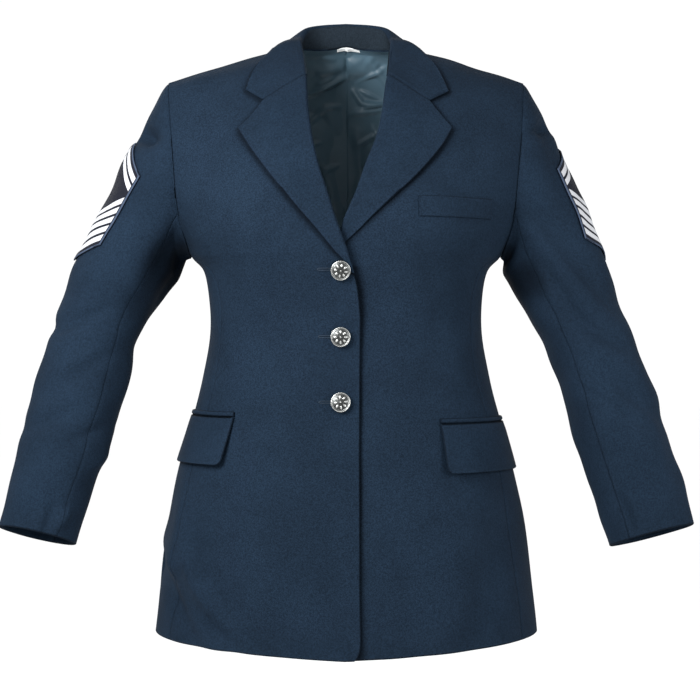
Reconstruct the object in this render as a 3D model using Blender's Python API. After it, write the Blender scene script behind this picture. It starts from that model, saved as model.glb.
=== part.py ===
"""A service dress jacket, filled out and hanging from its wearer's shoulders, as thin walls of cloth.

Metres, +Z up, the front faces -Y. The origin lies midway between the shoulders at the height of the neck
seam. "Right" and "left" are the wearer's, so the right side lies at -X.
"""

import math

import bmesh
import bpy
import numpy as np

# Cloth thicknesses
BODY_WALL = 0.0020
LAPEL_WALL = 0.0018
COLLAR_WALL = 0.0022
STAND_WALL = 0.0020
FLAP_WALL = 0.0024
JET_WALL = 0.0012
WELT_WALL = 0.0016
PATCH_WALL = 0.0014
LINING_WALL = 0.0010
LABEL_WALL = 0.0010

# Clearances
SEAM_GAP = 0.0003
ARMHOLE_GAP = 0.0012
LAYER_GAP = 0.0008
PATCH_GAP = 0.0014
LINING_GAP = 0.0018

RIGHT = -1
LEFT = 1
SIDE_NAMES = {RIGHT: "right", LEFT: "left"}

# Shape of the body's cross section: how full it is, and how the shoulder line slopes
FULLNESS = 1.2
SLOPE = 1.143

# Rows of the front from hem to shoulder: the side or armhole edge, the middle, and how far the curve turns
#    edge x,  edge y,  edge z,  middle y, middle z, turn in degrees
FRONT_ROWS = (
    (0.2160, 0.000, -0.657, -0.140, -0.671, 90.0),
    (0.2095, 0.000, -0.592, -0.139, -0.598, 90.0),
    (0.2005, 0.000, -0.530, -0.135, -0.533, 90.0),
    (0.1885, 0.000, -0.470, -0.130, -0.471, 90.0),
    (0.1740, 0.000, -0.418, -0.126, -0.418, 90.0),
    (0.1620, 0.000, -0.372, -0.122, -0.372, 90.0),
    (0.1545, 0.000, -0.330, -0.120, -0.330, 90.0),
    (0.1545, 0.000, -0.290, -0.124, -0.290, 90.0),
    (0.1600, 0.000, -0.2535, -0.131, -0.2520, 90.0),
    (0.1745, 0.000, -0.235, -0.134, -0.230, 90.0),
    (0.1800, -0.040, -0.215, -0.134, -0.208, 80.0),
    (0.1870, -0.057, -0.180, -0.129, -0.172, 68.0),
    (0.1920, -0.054, -0.130, -0.107, -0.113, 58.0),
    (0.1970, -0.036, -0.080, -0.076, -0.051, 48.0),
    (0.2005, -0.015, -0.050, -0.036, -0.006, 40.0),
    (0.2025, 0.005, -0.036, 0.012, 0.020, 32.0),
)
BACK_ROWS = (
    (0.2160, 0.000, -0.657, 0.135, -0.662, 90.0),
    (0.2095, 0.000, -0.592, 0.134, -0.596, 90.0),
    (0.2005, 0.000, -0.530, 0.131, -0.531, 90.0),
    (0.1885, 0.000, -0.470, 0.125, -0.470, 90.0),
    (0.1740, 0.000, -0.418, 0.115, -0.418, 90.0),
    (0.1620, 0.000, -0.372, 0.101, -0.372, 90.0),
    (0.1545, 0.000, -0.330, 0.089, -0.330, 90.0),
    (0.1545, 0.000, -0.290, 0.088, -0.290, 90.0),
    (0.1600, 0.000, -0.2535, 0.096, -0.252, 90.0),
    (0.1745, 0.000, -0.235, 0.103, -0.230, 90.0),
    (0.1810, 0.042, -0.214, 0.107, -0.206, 80.0),
    (0.1880, 0.064, -0.176, 0.110, -0.166, 66.0),
    (0.1940, 0.063, -0.127, 0.110, -0.115, 56.0),
    (0.1985, 0.046, -0.080, 0.104, -0.062, 48.0),
    (0.2012, 0.025, -0.052, 0.091, -0.018, 42.0),
    (0.2021, 0.014, -0.042, 0.066, 0.0155, 36.0),
    (0.2025, 0.005, -0.036, 0.012, 0.020, 32.0),
)
ARMPIT_ROW = 9
FRONT_TOP = len(FRONT_ROWS) - 1
BACK_TOP = len(BACK_ROWS) - 1

# The bust: x, z, how far it stands out, and its spread across and along
BUST = (0.086, -0.200, 0.013, 0.052, 0.062)

# Seams between the fronts, sides and backs: where they lie below the armpit, and the rows where they end
FRONT_SEAM_ACROSS = 0.70
BACK_SEAM_ACROSS = 0.66
SEAM_BEND_ROW = 6.5
FRONT_SEAM_TOP = 10.6
BACK_SEAM_TOP = 10.8

# The closure: each front's edge towards its own side, and the height over which it gives way to the roll line
CLOSURE = {RIGHT: -0.0152, LEFT: -0.0200}
BREAK_Z = -0.266
BREAK_BLEND = 0.023
HEM_Z = -0.6714
HEM_CORNER = 0.022
HEM_CORNER_REACH = 0.010

# How far the under front is set in, where across it that starts and is full, and where it ends upwards
UNDERLAP_SINK = 0.0038
UNDERLAP_START = 0.040
UNDERLAP_FULL = 0.020
UNDERLAP_TOP = -0.190
UNDERLAP_BLEND = 0.030

# The neck seam on the shoulder and at the back, and the rows over which a front's edge turns out to it
NECK_X = 0.0700
BACK_NECK_ROW = 15.0
NECK_TURN_ROW = 12.9
NECK_TURN_ROWS = 1.6
NECK_CURVE = 0.45

# Lapel rows from the break to the notch: the roll line and the outer edge, on the wearer's right
#    roll x,  roll z, outer x, outer z
LAPEL_ROWS = (
    (0.0070, -0.2440, -0.0050, -0.2450),
    (0.0008, -0.2245, -0.0115, -0.2275),
    (-0.0118, -0.1985, -0.0300, -0.2075),
    (-0.0220, -0.1710, -0.0530, -0.1820),
    (-0.0310, -0.1430, -0.0775, -0.1530),
    (-0.0385, -0.1090, -0.1010, -0.1220),
    (-0.0430, -0.0775, -0.1140, -0.1060),
    (-0.0452, -0.0590, -0.1015, -0.0885),
    (-0.0470, -0.0415, -0.0890, -0.0700),
)
LAPEL_TIP = 6
LAPEL_TOP = len(LAPEL_ROWS) - 1
LAPEL_START = {RIGHT: 0.25, LEFT: 1.5}
LAPEL_EDGE_HEIGHT = 0.0018
LAPEL_DROOP = 1.3
ROLL_RADIUS = 0.0030
ROLL_TURN = 70.0
ROLL_STEPS = 6
ROLL_CLEARANCE = 0.0009
# How much nearer the middle the under lapel lies, below which height, and over how much height that comes
UNDER_LAPEL_SHIFT = 0.0055
UNDER_LAPEL_TOP = -0.105
UNDER_LAPEL_BLEND = 0.050

# The collar's fold, from the gorge to the middle of the back: the centre of its roll
#    x,      y,      z
COLLAR_FOLD = (
    (0.0525, -0.0120, 0.0015),
    (0.0535, 0.0070, 0.0095),
    (0.0530, 0.0320, 0.0165),
    (0.0475, 0.0565, 0.0300),
    (0.0300, 0.0725, 0.0368),
    (0.0000, 0.0780, 0.0395),
)
FOLD_RADIUS = 0.0034
# The collar's outer edge in front, on the front, and behind, on the back: x with z, or x with a row
COLLAR_TIP = (0.1110, -0.0570)
NOTCH = (0.0890, -0.0690)
COLLAR_FRONT_EDGE = ((0.1030, -0.0335), (0.0890, -0.0120))
COLLAR_BACK_EDGE = ((0.0805, 15.75), (0.0740, 15.3), (0.0600, 14.9), (0.0330, 14.6), (0.0, 14.5))
COLLAR_EDGE_HEIGHT = 0.0028
COLLAR_CROWN = 0.0096
COLLAR_FLOOR = 0.0042
COLLAR_COUNT = 13
# Where the notch lies along the collar's front end, how far behind that end it still bends the collar, and the
# part of the way to the back over which the roll turns from the front's normal to upright
NOTCH_PART = 0.62
NOTCH_REACH = 0.28
NOTCH_HEIGHT = 0.0040
UPRIGHT_PART = 0.45

# The stand's foot: the part of the way to the middle back, how far from the middle, and the row of the back
STAND_FOOT = (
    (0.00, 0.0490, 13.60),
    (0.35, 0.0620, 15.90),
    (0.55, 0.0520, 15.35),
    (0.80, 0.0280, 15.08),
    (1.00, 0.0000, 15.05),
)
STAND_SINK = 0.0015
STAND_RISE = 0.0024
STAND_DROP = 0.0045
STAND_LEAVE = (0.18, 0.20)
STAND_GAP = 0.00045

# The shoulder seam seen from above, and the rows below it where the collar can lie
SHOULDER_Y = 0.012
SHOULDER_ROWS = (11.5, 12.5)

# Sleeve rings from the biceps to the cuff: the centre, the width and depth, and the lean in degrees
#    x,      y,      z,       width,  depth,  lean
SLEEVE_RIGHT = (
    (0.2380, -0.004, -0.2327, 0.1110, 0.128, 26.0),
    (0.2640, -0.012, -0.2768, 0.1005, 0.119, 25.0),
    (0.2815, -0.022, -0.3208, 0.0950, 0.113, 22.0),
    (0.2890, -0.034, -0.3578, 0.0980, 0.110, 20.0),
    (0.2980, -0.047, -0.3930, 0.1005, 0.105, 18.5),
    (0.3075, -0.060, -0.4317, 0.0976, 0.099, 18.0),
    (0.3165, -0.073, -0.4712, 0.0915, 0.093, 18.0),
    (0.3270, -0.085, -0.5111, 0.0865, 0.088, 17.0),
    (0.3340, -0.093, -0.5425, 0.0825, 0.085, 16.5),
)
SLEEVE_LEFT = (
    (0.2302, -0.004, -0.2325, 0.1130, 0.128, 26.0),
    (0.2500, -0.012, -0.2760, 0.1060, 0.119, 25.0),
    (0.2685, -0.022, -0.3193, 0.0960, 0.113, 23.5),
    (0.2806, -0.034, -0.3555, 0.0965, 0.110, 21.0),
    (0.2915, -0.047, -0.3895, 0.0990, 0.105, 19.0),
    (0.3013, -0.060, -0.4290, 0.1000, 0.099, 18.0),
    (0.3108, -0.073, -0.4665, 0.0985, 0.094, 17.5),
    (0.3220, -0.085, -0.5050, 0.0980, 0.089, 17.0),
    (0.3315, -0.093, -0.5420, 0.0940, 0.086, 16.8),
)
SLEEVE_ROWS = {RIGHT: SLEEVE_RIGHT, LEFT: SLEEVE_LEFT}
CUFF_ROW = len(SLEEVE_RIGHT)
FRONT_SEAM_ANGLE = 54.0
BACK_SEAM_ANGLE = -68.0

# The cap: how it leaves the armhole and how it reaches the first ring, at the armpit and what the top adds
CAP_OUT = (0.020, 0.020)
CAP_DOWN = (0.030, -0.020)
CAP_REACH = (0.030, 0.095)
CAP_FORWARD = 0.35
ARMHOLE_STEPS = 61

# The largest folds, as soft ridges (+) and troughs (-) seen from the front
#    x,      z,    direction, length, width, depth
BODY_FOLDS = (
    (-0.163, -0.620, -58.0, 0.060, 0.014, 0.006),
    (-0.183, -0.625, -62.0, 0.050, 0.012, -0.006),
    (-0.182, -0.530, 84.0, 0.060, 0.014, 0.004),
    (0.150, -0.600, 78.0, 0.070, 0.018, -0.004),
    (-0.085, -0.300, 80.0, 0.055, 0.014, -0.003),
    (0.098, -0.290, 98.0, 0.060, 0.014, -0.003),
)
SLEEVE_FOLDS = (
    (-0.333, -0.318, 12.0, 0.030, 0.012, -0.005),
    (-0.300, -0.304, 18.0, 0.040, 0.010, -0.004),
    (-0.327, -0.418, 20.0, 0.030, 0.012, -0.004),
    (-0.228, -0.098, -60.0, 0.022, 0.012, -0.005),
    (0.228, -0.090, 60.0, 0.020, 0.011, -0.004),
    (0.262, -0.235, -50.0, 0.070, 0.012, -0.005),
    (0.270, -0.310, -32.0, 0.050, 0.012, -0.005),
    (0.305, -0.385, -40.0, 0.045, 0.012, -0.004),
)

# Lower pockets: the front end of the flap at its top and foot, its top, its height, and its back end
#    top x,  foot x,  top z,   height, back end across
FLAPS = {RIGHT: (0.1200, 0.1315, -0.4135, 0.053, 0.92), LEFT: (0.1005, 0.1065, -0.4205, 0.054, 0.94)}
FLAP_TOP_STAND = 0.0010
FLAP_FOOT_STAND = 0.0055
# How the stand fades from the flap's front end to its back: how fast, and what stays of it
FLAP_FADE = 1.2
FLAP_LEAST = 0.15
JET_HEIGHT = 0.0050
JET_CLEARANCE = 0.0008

# Breast welt: x from, x to, top and foot
WELT = (0.0775, 0.1580, -0.1775, -0.1995)

# Sleeve patches: the angle round the arm of the front edge at the foot and the top, how far they reach round,
# and the heights of the foot and the top, at their edges and in their middle
PATCH_FRONT = {RIGHT: (124.0, 122.0), LEFT: (131.0, 141.0)}
PATCH_SPAN = 102.0
PATCH_FOOT = {RIGHT: (-0.2260, -0.2420), LEFT: (-0.2180, -0.2400)}
PATCH_TOP = {RIGHT: (-0.1490, -0.1060), LEFT: (-0.1390, -0.1080)}

# Buttons: the place of each, and half of the outline from the face's middle to the shank, radius by height
BUTTON_X = -0.0055
BUTTON_Z = (-0.2560, -0.3270, -0.3970)
BUTTON_OUTLINE = (
    (0.0, 0.0068), (0.0040, 0.0065), (0.0080, 0.0056), (0.0092, 0.0051), (0.0098, 0.0056), (0.0108, 0.0054),
    (0.0114, 0.0046), (0.0108, 0.0036), (0.0080, 0.0030), (0.0022, 0.0027), (0.0020, 0.0006), (0.0, 0.0006),
)
BUTTON_SIDES = 14

# Lining: how far across it reaches below and at its top, the rows over which that changes, and its top row
LINING_REACH = (0.60, 0.80)
LINING_WIDENS = (10.2, 13.2)
LINING_TOP = 14.8
# Label: x from, x to, foot and top
LABEL = (-0.0115, 0.0175, 0.0030, 0.0125)

# Colours as linear red, green and blue, with roughness and metallic
NAVY = ((0.028, 0.049, 0.086), 0.85, 0.0)
NAVY_DEEP = ((0.022, 0.039, 0.070), 0.85, 0.0)
SATIN = ((0.022, 0.038, 0.058), 0.35, 0.0)
EMBROIDERY = ((0.55, 0.56, 0.58), 0.8, 0.0)
PEWTER = ((0.32, 0.31, 0.29), 0.38, 1.0)
LABEL_WHITE = ((0.75, 0.76, 0.78), 0.6, 0.0)


def clear_scene():
    for thing in list(bpy.data.objects):
        bpy.data.objects.remove(thing, do_unlink=True)


def unit(vectors):
    return vectors / np.maximum(np.linalg.norm(vectors, axis=-1, keepdims=True), 1e-12)


def between(first, second, part):
    return first + (second - first) * part


def step(part):
    """0 below 0, 1 above 1, and a smooth rise between."""
    part = np.clip(part, 0.0, 1.0)
    return part * part * (3.0 - 2.0 * part)


def hermite(start, start_way, end, end_way, part):
    squared, cubed = part**2, part**3
    return (
        start * (2 * cubed - 3 * squared + 1)
        + start_way * (cubed - 2 * squared + part)
        + end * (3 * squared - 2 * cubed)
        + end_way * (cubed - squared)
    )


def read_rows(table, row):
    """The table's columns at a row number that need not be whole, on a smooth curve through its rows."""
    rows = np.asarray(table, float)
    row = np.clip(np.asarray(row, float), 0.0, len(rows) - 1.0)
    low = np.minimum(row.astype(int), len(rows) - 2)
    ways = np.gradient(rows, axis=0)
    part = (row - low)[..., None]
    return hermite(rows[low], ways[low], rows[low + 1], ways[low + 1], part)


def fold_height(points, folds):
    """How far soft folds lift the cloth at each point, from its place seen from the front."""
    height = np.zeros(points.shape[:-1])
    for x, z, direction, length, width, depth in folds:
        along = (math.cos(math.radians(direction)), math.sin(math.radians(direction)))
        right, up = points[..., 0] - x, points[..., 2] - z
        run = right * along[0] + up * along[1]
        off = -right * along[1] + up * along[0]
        height += depth * np.exp(-((run / length) ** 2) - (off / width) ** 2)
    return height


# The body's outer surface


def body_plain(table, side, row, across):
    """A point of the front or back: `row` up its table, `across` from 0 at the middle to 1 at its edge."""
    row, across = np.broadcast_arrays(np.asarray(row, float), np.asarray(across, float))
    columns = read_rows(table, row)
    edge_x, edge_y, edge_z, middle_y, middle_z, turn = np.moveaxis(columns, -1, 0)
    turn = np.radians(turn)
    x = edge_x * np.sin(turn * across) / np.sin(turn)
    curve = ((1 - np.cos(turn * across)) / (1 - np.cos(turn))) ** FULLNESS
    y = middle_y + (edge_y - middle_y) * curve
    z = middle_z + (edge_z - middle_z) * np.abs(x / edge_x) ** SLOPE
    if table is FRONT_ROWS:
        bust_x, bust_z, depth, spread_x, spread_z = BUST
        y = y - depth * np.exp(-(((x - bust_x) / spread_x) ** 2) - ((z - bust_z) / spread_z) ** 2)
    return np.stack([side * x, y, z], -1)


def surface_normal(surface, row, across, outward):
    reach = 0.004
    up = surface(row + reach, across) - surface(row - reach, across)
    over = surface(row, across + reach) - surface(row, across - reach)
    return unit(np.cross(over, up)) * outward


def body_normal(table, side, row, across):
    """The outward normal. At the shoulder seam the front and back share one, so that their walls meet."""
    row, across = np.broadcast_arrays(np.asarray(row, float), np.asarray(across, float))
    top, other, other_top = (
        (FRONT_TOP, BACK_ROWS, BACK_TOP) if table is FRONT_ROWS else (BACK_TOP, FRONT_ROWS, FRONT_TOP)
    )
    facing = side if table is FRONT_ROWS else -side
    own = surface_normal(lambda r, a: body_plain(table, side, r, a), row, across, facing)
    shared = surface_normal(
        lambda r, a: body_plain(other, side, r, a), np.full(row.shape, float(other_top)), across, -facing
    )
    near = step((row - top + 0.5) / 0.5)[..., None]
    return unit(own + near * shared)


def body_surface(table, side, row, across, height=0.0):
    """Points of the body's outer surface moved out by a height, and the normals there."""
    points = body_plain(table, side, row, across)
    normals = body_normal(table, side, row, across)
    lift = height + (fold_height(points, BODY_FOLDS) if table is FRONT_ROWS else 0.0)
    return points + normals * np.asarray(lift)[..., None], normals


def across_at(table, row, x):
    """How far across the row reaches x, measured from the middle towards the wearer's side."""
    columns = read_rows(table, row)
    turn = np.radians(columns[..., 5])
    return np.arcsin(np.clip(x * np.sin(turn) / columns[..., 0], -1.0, 1.0)) / turn


def find_row(table, side, x, target, axis, low, high):
    """The row where the surface at x reaches the target along an axis, found by halving."""
    x, target = np.broadcast_arrays(np.asarray(x, float), np.asarray(target, float))
    low, high = np.full(x.shape, float(low)), np.full(x.shape, float(high))
    rising = body_plain(table, side, high, across_at(table, high, x))[..., axis].mean()
    rising = rising > body_plain(table, side, low, across_at(table, low, x))[..., axis].mean()
    for _ in range(40):
        middle = (low + high) / 2
        short = (body_plain(table, side, middle, across_at(table, middle, x))[..., axis] < target) == rising
        low, high = np.where(short, middle, low), np.where(short, high, middle)
    return (low + high) / 2


def on_front(side, x, z, height=0.0):
    """Points on the front given as seen from the front, moved out by a height."""
    row = find_row(FRONT_ROWS, side, x, z, 2, 0, FRONT_TOP)
    return body_surface(FRONT_ROWS, side, row, across_at(FRONT_ROWS, row, np.asarray(x, float)), height)


def on_back(side, x, row, height=0.0):
    row = np.asarray(row, float)
    return body_surface(BACK_ROWS, side, row, across_at(BACK_ROWS, row, np.asarray(x, float)), height)


# Walls of cloth


def new_material(name, finish):
    colour, roughness, metallic = finish
    material = bpy.data.materials.new(name)
    material.use_nodes = True
    shader = material.node_tree.nodes["Principled BSDF"]
    shader.inputs["Base Color"].default_value = (*colour, 1.0)
    shader.inputs["Roughness"].default_value = roughness
    shader.inputs["Metallic"].default_value = metallic
    material.diffuse_color = (*colour, 1.0)
    return material


def add_object(name, points, triangles, finish):
    corners = points[triangles]
    volume = np.einsum("ij,ij->i", corners[:, 0], np.cross(corners[:, 1], corners[:, 2])).sum()
    if volume < 0:
        triangles = triangles[:, ::-1]
    mesh = bpy.data.meshes.new(name)
    mesh.from_pydata(points.tolist(), [], triangles.tolist())
    mesh.materials.append(new_material(name, finish))
    mesh.shade_smooth()
    mesh.set_sharp_from_angle(angle=math.radians(40))
    thing = bpy.data.objects.new(name, mesh)
    bpy.context.scene.collection.objects.link(thing)
    return thing


def wall_triangles(rows, columns):
    """Triangles of a wall between an outer and an inner grid, both split along the same diagonals."""
    layer = rows * columns
    index = np.arange(layer).reshape(rows, columns)
    a, b = index[:-1, :-1].ravel(), index[:-1, 1:].ravel()
    c, d = index[1:, 1:].ravel(), index[1:, :-1].ravel()
    face = np.concatenate([np.stack([a, b, c], 1), np.stack([a, c, d], 1)])
    sides = []
    for edge, turned in ((index[0], 0), (index[-1], 1), (index[:, 0], 1), (index[:, -1], 0)):
        near, far = edge[:-1], edge[1:]
        for corners in ((far, near, near + layer), (far, near + layer, far + layer)):
            sides.append(np.stack(corners[::-1] if turned else corners, 1))
    return np.concatenate([face, face[:, ::-1] + layer, *sides])


def wall(name, outer, inner, finish):
    rows, columns = outer.shape[:2]
    points = np.concatenate([outer.reshape(-1, 3), inner.reshape(-1, 3)])
    return add_object(name, points, wall_triangles(rows, columns), finish)


def pull_in(grid, gaps):
    """Draw a grid's first row, last row, first column and last column in from a seam."""
    grid = grid.copy()
    first_row, last_row, first_column, last_column = gaps
    for gap, edge, inside in (
        (first_row, np.s_[0, :], np.s_[1, :]),
        (last_row, np.s_[-1, :], np.s_[-2, :]),
        (first_column, np.s_[:, 0], np.s_[:, 1]),
        (last_column, np.s_[:, -1], np.s_[:, -2]),
    ):
        if gap:
            grid[edge] += unit(grid[inside] - grid[edge]) * gap
    return grid


def cloth_wall(name, points, normals, thickness, gaps, finish):
    """A wall whose outer face is the grid of points, drawn in from its seams."""
    return wall(name, pull_in(points, gaps), pull_in(points - normals * thickness, gaps), finish)


# Seams, in rows and across


def seam_rows(top):
    """Rows from the hem to the top of a seam, closer together at the rounded hem corner."""
    return top * np.concatenate([[0.0, 0.012, 0.034], np.linspace(0.075, 1.0, 14)])


def front_seam(row, blend):
    """Across the front: from the seam to the side (blend 0) to the side itself (blend 1), up to the armhole."""
    low = FRONT_SEAM_ACROSS + (1 - FRONT_SEAM_ACROSS) * blend
    top = seam_top(FRONT_SEAM_TOP, blend)
    return between(low, 1.0, step((row - SEAM_BEND_ROW) / (top - SEAM_BEND_ROW)) ** 1.5)


def back_seam(row, blend):
    low = BACK_SEAM_ACROSS + (1 - BACK_SEAM_ACROSS) * blend
    top = seam_top(BACK_SEAM_TOP, blend)
    return between(low, 1.0, step((row - SEAM_BEND_ROW) / (top - SEAM_BEND_ROW)) ** 1.5)


def seam_top(highest, blend):
    return ARMPIT_ROW + (highest - ARMPIT_ROW) * (1 - blend) ** 0.7


def lapel_shift(side, z):
    """How much nearer the middle the under front's roll line lies."""
    return UNDER_LAPEL_SHIFT * step((UNDER_LAPEL_TOP - z) / UNDER_LAPEL_BLEND) * (side == LEFT)


def roll_line(side, z):
    """How far the roll line lies from the middle at a height, towards the wearer's side."""
    rows = read_rows(LAPEL_ROWS, np.linspace(0, LAPEL_TOP, 60))
    return np.interp(z, rows[:, 1], -rows[:, 0] - lapel_shift(side, rows[:, 1]))


def front_edge(side, z, row):
    """The x of a front's inner edge: closure, then just outside the roll line, then out to the neck seam."""
    rolled = roll_line(side, z) + ROLL_RADIUS + ROLL_CLEARANCE
    edge = between(CLOSURE[side], rolled, step((z - BREAK_Z) / BREAK_BLEND))
    edge = between(edge, NECK_X, step((row - NECK_TURN_ROW) / NECK_TURN_ROWS))
    corner = np.clip((z - HEM_Z) / HEM_CORNER, 0.0, 1.0)
    return edge + HEM_CORNER_REACH * (1 - np.sqrt(1 - (1 - corner) ** 2)) * (side == RIGHT)


def underlap(side, points):
    """How far the under front is set in where the top front lies over it."""
    if side == RIGHT:
        return np.zeros(points.shape[:-1])
    near = step((UNDERLAP_START - points[..., 0]) / (UNDERLAP_START - UNDERLAP_FULL))
    return UNDERLAP_SINK * near * step((UNDERLAP_TOP - points[..., 2]) / UNDERLAP_BLEND)


def front_grid(side, rows, columns):
    rows = np.asarray(rows, float)
    inner = np.zeros(len(rows))
    for _ in range(12):
        z = body_plain(FRONT_ROWS, side, rows, inner)[..., 2]
        inner = across_at(FRONT_ROWS, rows, front_edge(side, z, rows))
    outer = front_seam(rows, 0.0)
    part = np.linspace(0, 1, columns)
    across = between(inner[:, None], outer[:, None], part)
    points, normals = body_surface(FRONT_ROWS, side, rows[:, None], across)
    points = points - normals * underlap(side, points)[..., None]
    return points, normals


def make_front(side):
    rows = np.concatenate([seam_rows(FRONT_SEAM_TOP), np.linspace(FRONT_SEAM_TOP, FRONT_TOP, 9)[1:]])
    points, normals = front_grid(side, rows, 9)
    gaps = (0, SEAM_GAP / 2, 0, SEAM_GAP / 2)
    cloth_wall(f"front_{SIDE_NAMES[side]}", points, normals, BODY_WALL, gaps, NAVY)


def make_back(side):
    rows = np.concatenate([seam_rows(BACK_SEAM_TOP), [11.6, 12.4, 13.2, 14.0, 14.6, BACK_NECK_ROW]])
    across = between(0.0, back_seam(rows, 0.0)[:, None], np.linspace(0, 1, 8))
    # Above the back neck seam the rows run from the neck out to the shoulder seam
    for extra in (15.35, 15.7, BACK_TOP):
        neck = between(0.0, NECK_X, ((extra - BACK_NECK_ROW) / (BACK_TOP - BACK_NECK_ROW)) ** NECK_CURVE)
        start = across_at(BACK_ROWS, np.asarray(float(extra)), neck)
        rows = np.append(rows, extra)
        across = np.vstack([across, between(start, 1.0, np.linspace(0, 1, 8))])
    points, normals = body_surface(BACK_ROWS, side, rows[:, None], across)
    gaps = (0, SEAM_GAP / 2, SEAM_GAP / 2, SEAM_GAP / 2)
    cloth_wall(f"back_{SIDE_NAMES[side]}", points, normals, BODY_WALL, gaps, NAVY)


def make_side(side):
    """The side panel: columns from the front seam round to the back seam, each up to the armhole's edge."""
    half = 5
    columns = []
    for number in range(2 * half - 1):
        at_front = number < half
        blend = number / (half - 1) if at_front else (2 * half - 2 - number) / (half - 1)
        top = seam_top(FRONT_SEAM_TOP if at_front else BACK_SEAM_TOP, blend)
        rows = seam_rows(top)
        across = (front_seam if at_front else back_seam)(rows, blend)
        columns.append(body_surface(FRONT_ROWS if at_front else BACK_ROWS, side, rows, across))
    points = np.stack([column[0] for column in columns], 1)
    normals = np.stack([column[1] for column in columns], 1)
    gaps = (0, SEAM_GAP / 2, SEAM_GAP / 2, SEAM_GAP / 2)
    cloth_wall(f"side_{SIDE_NAMES[side]}", points, normals, BODY_WALL, gaps, NAVY)


# Sleeves


def armhole_loops(side):
    """The armhole's edge, its normal, the way the body runs off it and its angle, up the front and down the back."""
    loops = []
    for table, rows in (
        (FRONT_ROWS, np.linspace(ARMPIT_ROW, FRONT_TOP, ARMHOLE_STEPS)),
        (BACK_ROWS, np.linspace(BACK_TOP, ARMPIT_ROW, ARMHOLE_STEPS)),
    ):
        edge, normal = body_surface(table, side, rows, 1.0)
        run = edge - body_plain(table, side, rows, 0.97)
        length = np.concatenate([[0], np.cumsum(np.linalg.norm(np.diff(edge, axis=0), axis=1))])
        loops.append((edge, normal, run, 180.0 * length / length[-1]))
    return loops


def read_loops(loops, field, angle):
    """One field of the loops at each angle: 0 the edge, 1 the normal, 2 the run."""
    angle = np.mod(angle, 360.0)
    front, back = loops
    ahead = [np.interp(angle, front[3], front[field][:, axis]) for axis in range(3)]
    behind = [np.interp(angle - 180, back[3], back[field][:, axis]) for axis in range(3)]
    return np.stack([np.where(angle <= 180, f, b) for f, b in zip(ahead, behind)], -1)


def armhole(side, angle):
    """The armhole's edge, its outward normal and the way the body runs off it, by degrees up the front."""
    loops = armhole_loops(side)
    angle = np.asarray(angle, float)
    edge, normal, run = (read_loops(loops, field, angle) for field in range(3))
    chord = read_loops(loops, 0, angle + 3.0) - read_loops(loops, 0, angle - 3.0)
    normal = unit(normal)
    across = np.cross(unit(chord), normal)
    return edge, normal, unit(across * np.sign(np.sum(across * run, -1))[..., None])


def sleeve_ring(side, row, angle):
    """A point of the sleeve below the cap. `row` counts the rings from 1, and the axis there."""
    table = SLEEVE_ROWS[side]
    row, angle = np.broadcast_arrays(np.asarray(row, float) - 1.0, np.radians(np.asarray(angle, float)))
    here = read_rows(table, row)
    centre = here[..., :3] * (side, 1, 1)
    axis = read_rows(table, row + 0.1)[..., :3] - read_rows(table, row - 0.1)[..., :3]
    axis = unit(axis * (side, 1, 1))
    lean = np.radians(here[..., 5])
    outward = np.stack([side * np.cos(lean), np.zeros_like(lean), np.sin(lean)], -1)
    outward = unit(outward - axis * np.sum(outward * axis, -1, keepdims=True))
    forward = np.cross(outward, axis) * side
    forward = forward * -np.sign(forward[..., 1:2])
    width, depth = here[..., 3:4] / 2, here[..., 4:5] / 2
    turn = angle[..., None]
    return centre - outward * width * np.cos(turn) + forward * depth * np.sin(turn), axis


def sleeve_plain(side, row, angle):
    """A point of the sleeve: rows 0 to 1 are the cap, from the armhole, and the rest are rings."""
    row, angle = np.broadcast_arrays(np.asarray(row, float), np.asarray(angle, float))
    edge, _, run = armhole(side, angle)
    rise = ((1 - np.cos(np.radians(angle))) / 2)[..., None]
    ring, axis = sleeve_ring(side, np.maximum(row, 1.0), angle)
    forward = -CAP_FORWARD * np.sin(np.radians(angle))
    away = np.stack([np.full(row.shape, float(side)), forward, np.zeros(row.shape)], -1)
    out, down, reach = (armpit + top * rise for armpit, top in (CAP_OUT, CAP_DOWN, CAP_REACH))
    part = np.clip(row, 0.0, 1.0)[..., None]
    cap = hermite(edge + run * ARMHOLE_GAP, away * out + (0, 0, -1) * down, ring, axis * reach, part)
    return np.where((row > 1.0)[..., None], ring, cap)


def sleeve_surface(side, row, angle, height=0.0):
    row, angle = np.broadcast_arrays(np.asarray(row, float), np.asarray(angle, float))
    points = sleeve_plain(side, row, angle)
    along = sleeve_plain(side, np.minimum(row + 0.03, CUFF_ROW), angle)
    along = along - sleeve_plain(side, np.maximum(row - 0.03, 0.0), angle)
    round_arm = sleeve_plain(side, row, angle + 1.5) - sleeve_plain(side, row, angle - 1.5)
    normals = unit(np.cross(along, round_arm)) * side
    _, seam_normal, _ = armhole(side, angle)
    share = step(1 - row / 0.25)[..., None]
    normals = unit(between(normals, seam_normal, share))
    ahead = step(points[..., 1] / -0.02 + 0.5)
    lift = height + fold_height(points, SLEEVE_FOLDS) * ahead * step(row / 0.3)
    return points + normals * np.asarray(lift)[..., None], normals


def make_sleeve(side):
    rows = np.concatenate([[0, 0.12], np.linspace(0.3, 1.0, 5), np.linspace(1.5, CUFF_ROW, 16)])
    for part, start, end, columns in (
        ("top", FRONT_SEAM_ANGLE, 360.0 + BACK_SEAM_ANGLE, 12),
        ("under", BACK_SEAM_ANGLE, FRONT_SEAM_ANGLE, 7),
    ):
        angles = np.linspace(start, end, columns)
        points, normals = sleeve_surface(side, rows[:, None], angles)
        gaps = (0, 0, SEAM_GAP / 2, SEAM_GAP / 2)
        cloth_wall(f"sleeve_{part}_{SIDE_NAMES[side]}", points, normals, BODY_WALL, gaps, NAVY)


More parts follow.
